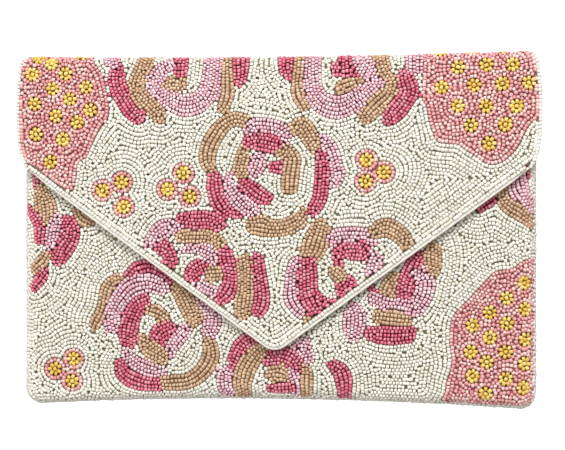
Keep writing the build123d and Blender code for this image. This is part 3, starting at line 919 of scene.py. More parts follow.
    def wander(self, amount, scale, waves=9):
        """A smooth random field, so that rows drift as hand-sewn ones do."""
        field = np.zeros(self.room.shape)
        for _ in range(waves):
            angle, phase = RANDOM.uniform(0, 6.28, 2)
            wave = RANDOM.uniform(0.6, 1.6) / scale
            along = self.grid_x * math.cos(angle) + self.grid_p * math.sin(angle)
            field += np.sin(along * wave + phase)
        return amount * field / math.sqrt(waves)

    def lay_contours(self, field, colour, wanted, first=0.5, spacing=ROW):
        """Rows that follow the field's contours, which run round whatever the area surrounds."""
        level = first * ROW
        top = field[self.owner == wanted].max()
        while level < top + ROW:
            for line in contour_lines(field[::2, ::2], level):
                if len(line) > 5:
                    soft = np.array([np.convolve(side, np.ones(3) / 3, "valid") for side in line.T]).T
                    line = np.vstack([line[:1], soft, line[-1:]])
                spots = line * 2 * GRID + (self.left, self.base)
                self.lay_row(spots, colour, wanted, ROW_GIVE)
            level += spacing

    def fill_gaps(self, gap):
        """Single beads in the holes that the rows leave."""
        slope_p, slope_x = np.gradient(self.clear)
        turned = np.arctan2(slope_x, -slope_p)
        spots = np.stack([grid[::2, ::2].ravel() for grid in (self.grid_x, self.grid_p)], -1)
        spots += RANDOM.uniform(-0.4, 0.4, spots.shape)
        spots = RANDOM.permutation(spots)
        x, p = spots.T
        inside = self.look(self.room, x, p) > BEAD / 2 - 0.1
        owner = self.look(self.owner, x, p)
        inside &= owner != YELLOW
        for cluster_x, cluster_p in self.clusters:
            inside &= np.hypot(x - cluster_x, p - cluster_p) > FLOWER + ROW - 0.4
        angle = self.look(turned, x, p)
        for i in np.nonzero(inside)[0]:
            self.lay(x[i], p[i], angle[i], self.colours[owner[i]], 1.0, gap)


def far_end(way, row, column):
    """The corner where one side of a grid square ends: way is 0 along a row and 1 up a column."""
    return row + way, column + 1 - way


def contour_lines(field, level):
    """Lines along which a grid of values equals level, as (column, row) points."""
    above = field > level
    links = {}
    same = (above[:-1, :-1] == above[:-1, 1:]) & (above[:-1, :-1] == above[1:, :-1])
    same &= above[:-1, :-1] == above[1:, 1:]
    for row, column in zip(*np.nonzero(~same)):
        sides = ((0, row, column), (1, row, column + 1), (0, row + 1, column), (1, row, column))
        cut = [side for side in sides if above[side[1:]] != above[far_end(*side)]]
        for one, other in zip(cut[::2], cut[1::2]):
            links.setdefault(one, []).append(other)
            links.setdefault(other, []).append(one)
    lines = []
    while links:
        start = next((side for side, others in links.items() if len(others) == 1), None)
        side = start or next(iter(links))
        line = [side]
        while links.get(side):
            other = links[side].pop()
            links[other].remove(side)
            if not links[side]:
                del links[side]
            line.append(other)
            side = other
        links.pop(side, None)
        lines.append(np.array([cut_point(field, level, *side) for side in line]))
    return lines


def cut_point(field, level, way, row, column):
    """Where the level is met on one side of a grid square."""
    start, end = field[row, column], field[far_end(way, row, column)]
    t = (level - start) / (end - start)
    return (column + t * (1 - way), row + t * way)


TOP = petal_lines(TOP_ROSES)
LOW_FLAP = petal_lines(LOW_LEFT_ROSE + LOW_RIGHT_ROSE)
BODY = petal_lines(BIG_ROSE + BOTTOM_ROSE)
CENTRE = petal_lines(CENTRE_ROSE)
FLAP_PATCHES = [patch_points(LEFT_PATCH), patch_points(RIGHT_PATCH)]


def lay_out(sheet, petals, patches, clusters):
    """Lays one sheet's beads: flowers, petals, patches, ground, and last the gaps."""
    layout = Layout(sheet, petals, patches, squared(clusters))
    layout.lay_flowers()
    layout.lay_petals()
    if patches:
        layout.lay_contours(layout.patch_depth + layout.wander(0.25, 9), "salmon", PATCH)
    drift = layout.wander(1.6, 9) * ease((layout.clear - 2) / 5)
    layout.lay_contours(layout.clear + drift, "cream", GROUND, spacing=0.95 * ROW)
    for gap in (1.45, 1.42, 1.42):
        layout.fill_gaps(gap)
        layout.settle()
    layout.fit_sizes()
    return layout


LAYOUTS = {
    "flap": lay_out(FLAP, TOP + CENTRE + LOW_FLAP, FLAP_PATCHES, FLAP_CLUSTERS),
    "front": lay_out(
        FRONT,
        LOW_FLAP + petal_lines(BODY_PETALS) + BODY,
        [patch_points(LOW_PATCH)],
        BODY_CLUSTER,
    ),
    "back": lay_out(
        BACK,
        TOP + mirrored(CENTRE + LOW_FLAP + BODY),
        [*FLAP_PATCHES, patch_points(LOW_PATCH, -1)],
        [(-x, p) for x, p in BODY_CLUSTER + FLAP_CLUSTERS[3:6]],
    ),
}

# ---------------------------------------------------------------- meshes


def make_mesh(name, points, faces, sizes=None, materials=(), material_index=None):
    """A mesh object from points in millimetres. faces is a flat list of corners."""
    mesh = bpy.data.meshes.new(name)
    faces = np.asarray(faces, np.int32)
    sizes = np.full(len(faces) // 4, 4, np.int32) if sizes is None else np.asarray(sizes, np.int32)
    mesh.vertices.add(len(points))
    mesh.vertices.foreach_set("co", (np.asarray(points) * MM).astype(np.float32).ravel())
    mesh.loops.add(len(faces))
    mesh.loops.foreach_set("vertex_index", faces)
    mesh.polygons.add(len(sizes))
    starts = np.concatenate([[0], np.cumsum(sizes)[:-1]]).astype(np.int32)
    mesh.polygons.foreach_set("loop_start", starts)
    for material in materials:
        mesh.materials.append(material)
    if material_index is not None:
        mesh.polygons.foreach_set("material_index", np.asarray(material_index, np.int32))
    mesh.update(calc_edges=True)
    mesh.shade_smooth()
    obj = bpy.data.objects.new(name, mesh)
    bpy.context.scene.collection.objects.link(obj)
    return obj


def turned(profile, segments):
    """A ring-shaped form turned about the first axis, as its points and faces."""
    profile = np.array(profile)
    turn = np.arange(segments)[:, None] * 2 * math.pi / segments
    along = np.tile(profile[:, 0], segments)
    high, wide = (np.cos(turn) * profile[:, 1]).ravel(), (np.sin(turn) * profile[:, 1]).ravel()
    ring = len(profile)
    spot = np.arange(segments * ring).reshape(segments, ring)
    after, below = np.roll(spot, -1, 1), np.roll(spot, -1, 0)
    faces = np.stack([spot, after, np.roll(below, -1, 1), below], -1).reshape(-1, 4)
    return np.stack([along, high, wide], -1), faces


def copies(form, centres, axis, out, length, girth):
    """The points and faces of many copies of a form, lying along axis, one at each centre."""
    points, faces = form
    side = np.cross(out, axis)
    placed = (
        centres[:, None]
        + points[None, :, 0:1] * (axis * length)[:, None]
        + points[None, :, 1:2] * (out * girth)[:, None]
        + points[None, :, 2:3] * (side * girth)[:, None]
    )
    faces = faces[None] + (np.arange(len(centres)) * len(points))[:, None, None]
    return placed.reshape(-1, 3), faces.ravel()


HALF_LENGTH, GIRTH = BEAD_LENGTH / 2, BEAD / 2
BEAD_PROFILE = (
    (-0.86 * HALF_LENGTH, BEAD_HOLE / 2),
    (-HALF_LENGTH, 0.72 * GIRTH),
    (-0.74 * HALF_LENGTH, 0.96 * GIRTH),
    (0, GIRTH),
    (0.74 * HALF_LENGTH, 0.96 * GIRTH),
    (HALF_LENGTH, 0.72 * GIRTH),
    (0.86 * HALF_LENGTH, BEAD_HOLE / 2),
)
SEGMENTS = 8
BEAD_FORM = turned(BEAD_PROFILE, SEGMENTS)
# The faces at a bead's ends and in its hole take a darker colour: painted shade of the gaps between beads and of the
# hole
BEAD_PAINTED_SHADE_FACES = np.tile([True, False, False, False, False, True, True], SEGMENTS)
STITCH_FORM = turned(((-1.05, 0.05), (-0.85, 0.19), (0, 0.27), (0.85, 0.19), (1.05, 0.05)), 8)
TINTS = 3
# How full and how long the beads of each colour are, in the order of COLOURS
BEAD_FIT = np.array([(1.0, 1.0), (0.96, 0.94), (0.95, 0.91), (0.96, 0.91), (0.99, 0.98), (1.0, 0.86)])


def bead_mesh(name, centres, axis, out, colour=CREAM, size=1.0):
    """Many beads as one mesh. Each takes one of its colour's tints, and a darker colour painted at its ends and in its
    hole as shade.
    """
    count = len(centres)
    colour = np.broadcast_to(colour, count)
    axis, out = unit(axis), unit(out)
    side = unit(np.cross(out, axis))
    swing = np.radians(RANDOM.normal(0, 6, count))[:, None]
    tilt = np.radians(RANDOM.normal(0, 4, count))[:, None]
    axis = unit(axis * np.cos(swing) + side * np.sin(swing) + out * np.sin(tilt))
    out = np.cross(axis, unit(np.cross(out, axis)))
    centres = centres + RANDOM.normal(0, 0.07, (count, 3))
    girth = size * RANDOM.normal(1, 0.04, count) * BEAD_FIT[colour, 0]
    length = size * RANDOM.normal(1, 0.06, count) * BEAD_FIT[colour, 1]
    points, faces = copies(BEAD_FORM, centres, axis, out, length[:, None], girth[:, None])
    body = colour * (TINTS + 1) + RANDOM.integers(0, TINTS, count)
    # the darker material, painted as shade on each bead's ends and in its hole
    ends = colour * (TINTS + 1) + TINTS
    index = np.where(BEAD_PAINTED_SHADE_FACES[None], ends[:, None], body[:, None])
    used, index = np.unique(index, return_inverse=True)
    materials = [BEAD_MATERIALS[i] for i in used]
    return make_mesh(name, points, faces, materials=materials, material_index=index.ravel())


# ---------------------------------------------------------------- materials


def principled(name, colour, roughness, **more):
    """A material whose shader's own sockets hold its numbers."""
    material = bpy.data.materials.new(name)
    material.use_nodes = True
    shader = material.node_tree.nodes["Principled BSDF"]
    shader.inputs["Base Color"].default_value = (*colour, 1)
    shader.inputs["Roughness"].default_value = roughness
    for socket, value in more.items():
        shader.inputs[socket.replace("_", " ")].default_value = value
    return material


def node(material, kind, output, inputs=None, **settings):
    """Adds a node and gives its output. Its inputs are numbers, or sockets to link from."""
    made = material.node_tree.nodes.new("ShaderNode" + kind)
    for key, value in settings.items():
        setattr(made, key, value)
    for key, value in (inputs or {}).items():
        if isinstance(value, bpy.types.NodeSocket):
            material.node_tree.links.new(value, made.inputs[key])
        else:
            made.inputs[key].default_value = value
    return made.outputs[output]


def link(material, output, socket):
    shader = material.node_tree.nodes["Principled BSDF"]
    material.node_tree.links.new(output, shader.inputs[socket])


def bump(material, height, strength, distance):
    values = {"Height": height, "Strength": strength, "Distance": distance}
    link(material, node(material, "Bump", "Normal", values), "Normal")


# Each colour's tints, and last the darker colour painted on a bead's ends and in its hole as shade
BEAD_TINTS = {
    "cream": ((0.77, 0.74, 0.64), (0.71, 0.68, 0.57), (0.82, 0.80, 0.72), (0.42, 0.37, 0.27)),
    "salmon": ((0.73, 0.36, 0.35), (0.65, 0.27, 0.265), (0.80, 0.52, 0.49), (0.50, 0.15, 0.16)),
    "light": ((0.77, 0.46, 0.51), (0.70, 0.39, 0.44), (0.84, 0.59, 0.63), (0.26, 0.04, 0.08)),
    "hot": ((0.64, 0.14, 0.205), (0.56, 0.095, 0.155), (0.72, 0.23, 0.30), (0.19, 0.008, 0.03)),
    "tan": ((0.54, 0.34, 0.205), (0.47, 0.29, 0.17), (0.62, 0.42, 0.26), (0.38, 0.225, 0.125)),
    "yellow": ((0.74, 0.50, 0.10), (0.66, 0.41, 0.065), (0.80, 0.58, 0.16), (0.24, 0.11, 0.01)),
}


def glass(colour, number, tint):
    """Glossy glass for a bead's sides, or the duller, darker material of its ends and hole, whose darkness is painted
    shade.
    """
    coat = {"Coat_Roughness": 0.12, "IOR": 1.5}
    # The end material's darker colour is painted shade, not a colour of the glass
    if number == TINTS:
        return principled(f"bead_{colour}_end", tint, 0.45, Coat_Weight=0.0, **coat)
    return principled(f"bead_{colour}_{number + 1}", tint, 0.30, Coat_Weight=0.45, **coat)


BEAD_MATERIALS = [
    glass(colour, number, tint) for colour in COLOURS for number, tint in enumerate(BEAD_TINTS[colour])
]


def woven(name, colour, scale, roughness=0.8, sheen=0.3, strength=0.35, attribute=None, slub=0.12):
    """Plain-woven cloth: crossing threads as bump and as painted shade in the holes between them, with uneven colour.
    """
    material = principled(name, colour, roughness, Sheen_Weight=sheen, Sheen_Roughness=0.4)
    place = node(material, "TexCoord", "Object")
    spot = node(material, "Mapping", "Vector", {"Vector": place, "Scale": (scale,) * 3})
    wave = {"Vector": spot, "Scale": 1.0, "Distortion": 0.6, "Detail": 1.0}
    warp, weft = (
        node(material, "TexWave", "Fac", wave, bands_direction=way, wave_profile="SIN") for way in "XZ"
    )
    threads = node(material, "Math", "Value", {0: warp, 1: weft}, operation="MAXIMUM")
    uneven = node(material, "TexNoise", "Fac", {"Vector": place, "Scale": scale * 0.15, "Detail": 4.0})
    base = (*colour, 1)
    if attribute:
        base = node(material, "VertexColor", "Color", layer_name=attribute)
    spread = {"Value": uneven, "From Min": 0.3, "From Max": 0.7, "To Min": 1 - slub}
    shade = node(material, "MapRange", "Result", spread)
    # Painted shade: the colour is darker in the holes between the crossing threads, where the bump is low
    painted_thread_shade = node(material, "MapRange", "Result", {"Value": threads, "To Min": 0.72})
    both = node(material, "Math", "Value", {0: shade, 1: painted_thread_shade}, operation="MULTIPLY")
    mix = {"Factor": 1.0, 6: base, 7: both}
    tinted = node(material, "Mix", 2, mix, data_type="RGBA", blend_type="MULTIPLY")
    link(material, tinted, "Base Color")
    bump(material, threads, strength, 0.0002)
    return material


def felted(name, colour):
    """Needled felt: short tangled fibres."""
    material = principled(name, colour, 0.95, Sheen_Weight=0.5)
    place = node(material, "TexCoord", "Object")
    tangle = {"Vector": place, "Scale": 900.0, "Detail": 6.0, "Distortion": 2.0}
    fibre = node(material, "TexNoise", "Fac", tangle)
    shades = {"Factor": fibre, 6: (*(0.82 * c for c in colour), 1), 7: (*colour, 1)}
    link(material, node(material, "Mix", 2, shades, data_type="RGBA"), "Base Color")
    bump(material, fibre, 0.6, 0.0003)
    return material


def brushed(name, colour, roughness, metallic=1.0, grain=2500.0):
    """Metal with fine brushing along X and faint handling marks."""
    material = principled(name, colour, roughness, Metallic=metallic)
    place = node(material, "TexCoord", "Object")
    stretch = {"Vector": place, "Scale": (grain * 0.05, grain, grain)}
    spot = node(material, "Mapping", "Vector", stretch)
    lines = node(material, "TexNoise", "Fac", {"Vector": spot, "Scale": 1.0, "Detail": 3.0})
    spread = {"Value": lines, "From Min": 0.3, "From Max": 0.7}
    spread |= {"To Min": roughness - 0.06, "To Max": roughness + 0.12}
    link(material, node(material, "MapRange", "Result", spread), "Roughness")
    bump(material, lines, 0.12, 0.0001)
    return material


# Its colour comes from the per-point colours, which carry the painted shade and bead-coloured light of the gaps
# between beads
BEADING_CLOTH = woven("beading_cloth", (0.4, 0.35, 0.25), 2600.0, attribute="dye")
FELT_CLOTH = felted("felt", (0.80, 0.79, 0.75))
LINING_SATIN = woven("lining_satin", (0.60, 0.53, 0.42), 5200.0, 0.42, 0.6, 0.12, slub=0.06)
PIPING_SATIN = woven("piping_satin", (0.90, 0.86, 0.77), 5200.0, 0.38, 0.6, 0.12, slub=0.05)
THREAD = woven("thread", (0.82, 0.77, 0.66), 6500.0, 0.6, 0.4, 0.3)
SNAP_METAL = brushed("snap_metal", (0.83, 0.69, 0.42), 0.28)
MAGNET = brushed("magnet", (0.16, 0.16, 0.17), 0.55, metallic=0.8, grain=900.0)

# ---------------------------------------------------------------- the beads' pieces

FRONT_FOLD = ("spine", "flap")
BACK_FOLD = ("pouch", "spine")
BLEND_Z = FOLD_Z - 3.0  # pieces that start above this bend with a fold


def ride(piece, body, slot, *nodes):
    """Places a piece on a body, or over a fold when body names two."""
    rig.slot(piece, slot)
    if nodes:
        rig.replaces(piece, *nodes)
    if isinstance(body, str):
        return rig.ride(piece, body)
    way = -1 if body == FRONT_FOLD else 1
    panel = (0, way * HALF_DEPTH * MM, FOLD_Z * MM)
    top = (0, way * (HALF_DEPTH - FOLD_RADIUS) * MM, HEIGHT * MM)
    start, end = (top, panel) if body == FRONT_FOLD else (panel, top)
    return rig.blend(piece, *body, start=start, end=end)


GROUPS = {"ground": ("cream",), "patch": ("salmon", "yellow"), "petal": ("light", "hot", "tan")}
MOST_BEADS = 1750  # in one piece


def sheet_beads(layout, body, fold, *nodes):
    """The beads of one sheet, parted by colour and position into pieces of a fair size."""
    sheet = layout.sheet
    x, p, angle, colour, size, _ = np.array(layout.beads).T
    centres, along_x, along_p, out = sheet.at(x, p, BEAD / 2 * size)
    axis = along_x * np.cos(angle)[:, None] + along_p * np.sin(angle)[:, None]
    colour = colour.astype(int)
    high = p > BLEND_Z
    sets = []
    for group, kinds in GROUPS.items():
        chosen = np.isin(colour, [COLOURS.index(kind) for kind in kinds])
        sets.append((f"{group}_beads", ~high & chosen, body))
    if fold:
        sets.append(("fold_beads", high, fold))
    for name, chosen, carrier in sets:
        chosen = np.nonzero(chosen)[0]
        chosen = chosen[np.argsort(x[chosen], kind="stable")]
        parts = math.ceil(len(chosen) / MOST_BEADS)
        for number, part in enumerate(np.array_split(chosen, max(parts, 1))):
            suffix = f"_{number + 1}" if parts > 1 else ""
            beads = (values[part] for values in (centres, axis, out, colour, size))
            ride(bead_mesh(f"{sheet.name}_{name}{suffix}", *beads), carrier, "seed_beads", *nodes)


sheet_beads(LAYOUTS["flap"], "flap", FRONT_FOLD, "flap_beads", "spine_beads")
sheet_beads(LAYOUTS["front"], "pouch", None, "front_beads")
sheet_beads(LAYOUTS["back"], "pouch", BACK_FOLD, "back_beads", "spine_beads")


def along_line(line, pitch, start=0.5):
    """Evenly spaced places on a line, and the line's direction there."""
    distances = travelled(line)
    at = start + pitch * np.arange(int((distances[-1] - start) / pitch))
    spots, ahead, behind = (points_at(line, distances, at + step) for step in (0, 0.3, -0.3))
    return spots, unit(ahead - behind)


def edge_row_beads():
    """The single row of cream beads along the flap's point."""
    spots, way = along_line(vee_curve(EDGE_ROW), BEAD_PITCH)
    centres, along_x, along_p, out = FLAP.at(*spots.T, BEAD / 2)
    axis = along_x * way[:, :1] + along_p * way[:, 1:]
    ride(bead_mesh("flap_edge_row", centres, axis, out), "flap", "seed_beads", "flap_edge_beads")


def ridge_row():
    """The row along the middle of the strip over the top, in the colours that meet there."""
    layout = LAYOUTS["flap"]
    x = np.arange(-HALF_SPINE + SIDE_ROWS + 1, HALF_SPINE - SIDE_ROWS - 0.9, BEAD_PITCH)
    owner = layout.look(layout.owner, x, np.full(len(x), RIDGE - ROW))
    colour = np.array([COLOURS.index(layout.colours[i]) for i in owner])
    colour[colour == COLOURS.index("yellow")] = COLOURS.index("salmon")
    centres, axis, _, out = FLAP.at(x, np.full(len(x), RIDGE), BEAD / 2)
    piece = bead_mesh("spine_ridge_row", centres, axis, out, colour)
    ride(piece, "spine", "seed_beads", "spine_beads")


def side_rows(name, sheet, half_width, low, high, body):
    """Two rows of cream beads wrapped over a sheet's side edges."""
    parts = []
    for side in (-1, 1):
        # How far each row lies in from the edge and below the face, and how much it faces out
        for inward, depth, lean in ((1.15, 1.25, 0.8), (0.95, 3.1, 0.1)):

            def place(p):
                return sheet.at(side * (half_width(p) - inward), p, depth)

            p = np.arange(low, high, 0.4)
            distances = travelled(place(p)[0])
            spots = np.interp(np.arange(0.8, distances[-1], BEAD_PITCH), distances, p)
            centres, _, _, out = place(spots)
            axis = place(spots + 0.3)[0] - place(spots - 0.3)[0]
            out = out * lean + np.array([side, 0, 0]) * (1 - lean)
            parts.append((centres, axis, out))
    ride(bead_mesh(name, *(np.vstack(values) for values in zip(*parts))), body, "seed_beads")


edge_row_beads()
ridge_row()
side_rows("flap_side_rows", FLAP, flap_side_width, FLAP_CORNER_Z + 0.5, BLEND_Z, "flap")
side_rows("flap_fold_side_rows", FLAP, flap_side_width, BLEND_Z, RIDGE - 0.6, FRONT_FOLD)
side_rows("back_fold_side_rows", BACK, back_half_width, FOLD_Z - 1, RIDGE - 0.6, BACK_FOLD)

# ---------------------------------------------------------------- the cloth layers

# The backing cloth's colour under each colour of bead: partly the cloth's own colour, and partly painted light,
# darkened as the shade in the gaps between beads and tinted with the beads' colour as the light that passes through
# and bounces off them
DYES_AND_PAINTED_GAP_SHADE = {
    "cream": (0.36, 0.29, 0.19),
    "salmon": (0.56, 0.19, 0.20),
    "light": (0.15, 0.02, 0.05),
    "hot": (0.11, 0.004, 0.018),
    "tan": (0.34, 0.20, 0.11),
    "yellow": (0.14, 0.06, 0.008),
}


def pouch_rows(inset, top, step):
    """Heights above a pouch panel's bottom edge, closer together round its corners."""
    corner = (CORNER - inset) * (1 - np.cos(np.linspace(0, math.pi / 2, 9)))
    return np.concatenate([corner, np.arange(corner[-1] + step, top - step / 2, step), [top]])


def pouch_grid(inset, top, step, widths=None):
    """A flat grid of points over a pouch panel, drawn in by inset."""
    low = inset - ROLL
    rows = pouch_rows(inset, top - low, step)
    radius = CORNER - inset
    drop = np.maximum(radius - rows, 0)
    half = HALF_SEAM - CORNER + np.sqrt(radius**2 - drop**2)
    if widths is not None:
        half = np.minimum(half, widths(low + rows) - inset)
    columns = np.linspace(-1, 1, int(2 * HALF_SEAM / step) | 1)
    x = half[:, None] * columns
    return x, low + rows[:, None] + arch(x) * (1 - (rows / rows[-1])[:, None])


def flap_grid(side, vee, top, step):
    """A flat grid of points over the flap, drawn in by side at its sides and by vee at its point."""
    low = TIP_Z - (TIP_RADIUS - vee)
    tip = low + (TIP_RADIUS - vee) * (1 - np.cos(np.linspace(0.12, VEE, 5)))
    body = np.arange(tip[-1] + step, top - step / 2, step)
    rows = np.sort(np.concatenate([tip, body, [FLAP_CORNER_Z + vee / math.cos(VEE), top]]))
    half = np.minimum(flap_half_width(rows, vee), flap_side_width(rows) - side)
    columns = np.linspace(-1, 1, int(2 * HALF_FLAP / step) | 1)
    return half[:, None] * columns, np.tile(rows[:, None], (1, len(columns)))


def layer(name, sheet, grid, depths, material, layout=None):
    """A closed slab between two depths of a sheet, over a flat grid."""
    x, p = grid
    rows, columns = x.shape
    outer, inner = (sheet.at(x, p, np.full(x.shape, depth))[0].reshape(-1, 3) for depth in depths)
    spot = np.arange(rows * columns).reshape(rows, columns)
    quads = [spot[:-1, :-1], spot[:-1, 1:], spot[1:, 1:], spot[1:, :-1]]
    front = np.stack(quads, -1).reshape(-1, 4)
    back = front[:, ::-1] + rows * columns
    edge = np.concatenate([spot[0], spot[1:, -1], spot[-1, -2::-1], spot[-2:0:-1, 0]])
    after = np.roll(edge, -1)
    rim = np.stack([after, edge, edge + rows * columns, after + rows * columns], -1)
    faces = np.vstack([front, back, rim])
    if sheet.facing < 0:
        faces = faces[:, ::-1]
    piece = make_mesh(name, np.vstack([outer, inner]), faces.ravel(), materials=[material])
    if layout:
        # Each point of the backing cloth takes the colour listed for the beads over it, with its painted gap shade and
        # bead-coloured light
        owner = layout.look(layout.owner, x.ravel(), p.ravel())
        dyes_and_painted_gap_shade = np.array([(*DYES_AND_PAINTED_GAP_SHADE[colour], 1) for colour in layout.colours])[owner]
        dye = piece.data.color_attributes.new("dye", "FLOAT_COLOR", "POINT")
        dye.data.foreach_set("color", np.vstack([dyes_and_painted_gap_shade, dyes_and_painted_gap_shade]).ravel())
    return piece


def flat_size(grid):
    """The size a layer was cut to, and its area, in metres."""
    x, p = grid
    wide = x.max() - x.min()
    area = (np.diff(p, axis=0)[:, 1:] * np.diff(x, axis=1)[1:]).sum()
    return (wide * MM, (p.max() - p.min()) * MM), area * MM**2


# The flap's cloth stops this far inside its beads, at its sides and at its point
FLAP_SIDE_IN, FLAP_VEE_IN = 0.8, 2.0

LAYERS = (
    # name, name in the flap, material slot, depths, material, flat step, how far in from the edge
    ("cloth", "cloth", "backing_cloth", CLOTH, BEADING_CLOTH, 1.5, 0.4),
    ("interlining", "stiffener", "interlining", FELT, FELT_CLOTH, 3.0, 1.2),
    ("lining", "facing", "lining_satin", SATIN, LINING_SATIN, 2.0, 0.6),
)


def body_layers():
    """The cloth, interlining and lining of the pouch's two halves and of the flap."""
    for name, flap_name, slot, depths, material, step, inset in LAYERS:
        front = pouch_grid(inset, MOUTH_Z - 0.2, step)
        back = pouch_grid(inset, RIDGE, step, back_half_width)
        flap = flap_grid(FLAP_SIDE_IN + inset, FLAP_VEE_IN + inset, RIDGE, step)
        for sheet, grid, body, *nodes in (
            (FRONT, front, "pouch", f"front_{name}"),
            (BACK, back, BACK_FOLD, f"back_{name}", f"spine_{name}"),
            (FLAP, flap, FRONT_FOLD, f"flap_{flap_name}", f"spine_{name}"),
        ):
            layout = LAYOUTS[sheet.name] if name == "cloth" else None
            piece = layer(f"{nodes[0]}_sheet", sheet, grid, depths, material, layout)
            ride(piece, body, slot, *nodes)
            size, area = flat_size(grid)
            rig.sheet(piece, flat=size, held="stretched", area=area)


body_layers()


def skin(name, rings, material):
    """A closed tube through rings of points, with flat ends."""
    count, ring = rings.shape[:2]
    spot = np.arange(count * ring).reshape(count, ring)
    after = np.roll(spot, -1, 1)
    faces = np.stack([spot[:-1], after[:-1], after[1:], spot[1:]], -1).reshape(-1, 4)
    flat = np.concatenate([faces.ravel(), spot[0, ::-1], spot[-1]])
    return make_mesh(name, rings.reshape(-1, 3), flat, [4] * len(faces) + [ring] * 2, [material])


def creased_tube(name, line, out, across, radii, material, segments=16, dent=0.3):
    """A tube along a line, creased by dent along the side that faces out.

    radii gives its half height and half width at each point.
    """
    turn = np.arange(segments) * 2 * math.pi / segments
    turn += 0.7 * dent * np.sin(turn)
    fullness = 1 - dent * np.exp(-((np.minimum(turn, 2 * math.pi - turn) / 0.4) ** 2))
    high, wide = radii
    rings = (
        line[:, None]
        + ((np.cos(turn) * fullness)[None, :, None] * (out * high[:, None])[:, None])
        + ((np.sin(turn) * fullness)[None, :, None] * (across * wide[:, None])[:, None])
    )
    return skin(name, rings, material)


def piping():
    """The satin piping along the flap's point, creased by its stitching and thin at its ends."""
    line, _, _, out = FLAP.at(*vee_curve(1.05, 1.5).T, 2.0)
    across = np.cross(unit(np.gradient(line, axis=0)), out)
    distances = travelled(line)
    to_end = np.minimum(distances, distances[-1] - distances)
    full = 0.45 + 0.55 * ease(to_end / 14)
    piece = creased_tube("flap_piping_satin", line, out, across, (1.3 * full, 1.15 * full), PIPING_SATIN)
    ride(piece, "flap", "piping_satin", "flap_piping")


piping()


def folded_strip(name, place, half, section, material):
    """A strip across the bag with the same closed section all along, set by place(x, depth, p)."""
    x = np.linspace(-half, half, int(half))
    return skin(name, np.stack([place(x, depth, p) for depth, p in section], 1), material)


BINDING_CUT, HEM_CUT = 16.5, 10.0  # each strip's width before it was folded


def binding():
    """The satin strip folded over the top edge of the front panel."""
    section = (
        (1.55, BINDING_Z + 0.1),
        (1.4, BINDING_Z + 1.5),
        (1.45, MOUTH_Z - 0.6),
        (1.9, MOUTH_Z + 0.15),
        (3.2, MOUTH_Z + 0.4),
        (4.5, MOUTH_Z + 0.15),
        (4.95, MOUTH_Z - 0.6),
        (5.0, BINDING_Z + 1.5),
        (4.9, BINDING_Z + 0.1),
        (4.62, BINDING_Z),
        (4.6, MOUTH_Z - 0.2),
        (1.85, MOUTH_Z - 0.2),
        (1.85, BINDING_Z),
    )

    def place(x, depth, p):
        return FRONT.at(x, np.full(len(x), min(p, MOUTH_Z)), depth)[0] + (0, 0, max(p - MOUTH_Z, 0))

    piece = folded_strip("mouth_binding_satin", place, BINDING_HALF, section, LINING_SATIN)
    ride(piece, "pouch", "lining_satin", "mouth_binding")
    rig.sheet(piece, flat=(2 * BINDING_HALF * MM, BINDING_CUT * MM), held="folded")


binding()

# ---------------------------------------------------------------- the inside pocket

POCKET_LOW, POCKET_HIGH = corners("slip_pocket")
HEM_Z = corners("pocket_hem")[0][2]
POCKET_CLOTH = 0.35
STITCH_PITCH = 3.0


def pocket_surface(x, p):
    """The pocket's front: sewn flat to the lining at its sides and foot, and loose at its top."""
    across = np.clip(1 - (x / POCKET_HIGH[0]) ** 2, 0, 1) ** 0.7
    up = ease((p - POCKET_LOW[2]) / 60)
    ripple = 0.13 * np.sin(x / 6.5 + 0.8 * np.sin(p / 17))
    loose = across * up * (0.75 + ripple)
    return np.stack([x, POCKET_HIGH[1] - POCKET_CLOTH - loose, p], -1)


POCKET = Sheet("pocket", pocket_surface, 1, None, 0.0, POCKET_LOW[2], POCKET_HIGH[2])


def stitches(name, sheet, lines, depth, body):
    """Rows of thread stitches along flat lines on a sheet."""
    runs = [along_line(np.array(line, float), STITCH_PITCH, 1.2) for line in lines]
    spots, way = (np.vstack(values) for values in zip(*runs))
    centres, along_x, along_p, out = sheet.at(*spots.T, depth)
    axis = unit(along_x * way[:, :1] + along_p * way[:, 1:])
    swing = RANDOM.normal(0, 0.05, (len(axis), 1))
    axis = unit(axis + swing * np.cross(out, axis))
    points, faces = copies(STITCH_FORM, centres, axis, unit(out), 1.0, 1.0)
    ride(make_mesh(name, points, faces, materials=[THREAD]), body, "lining_satin")


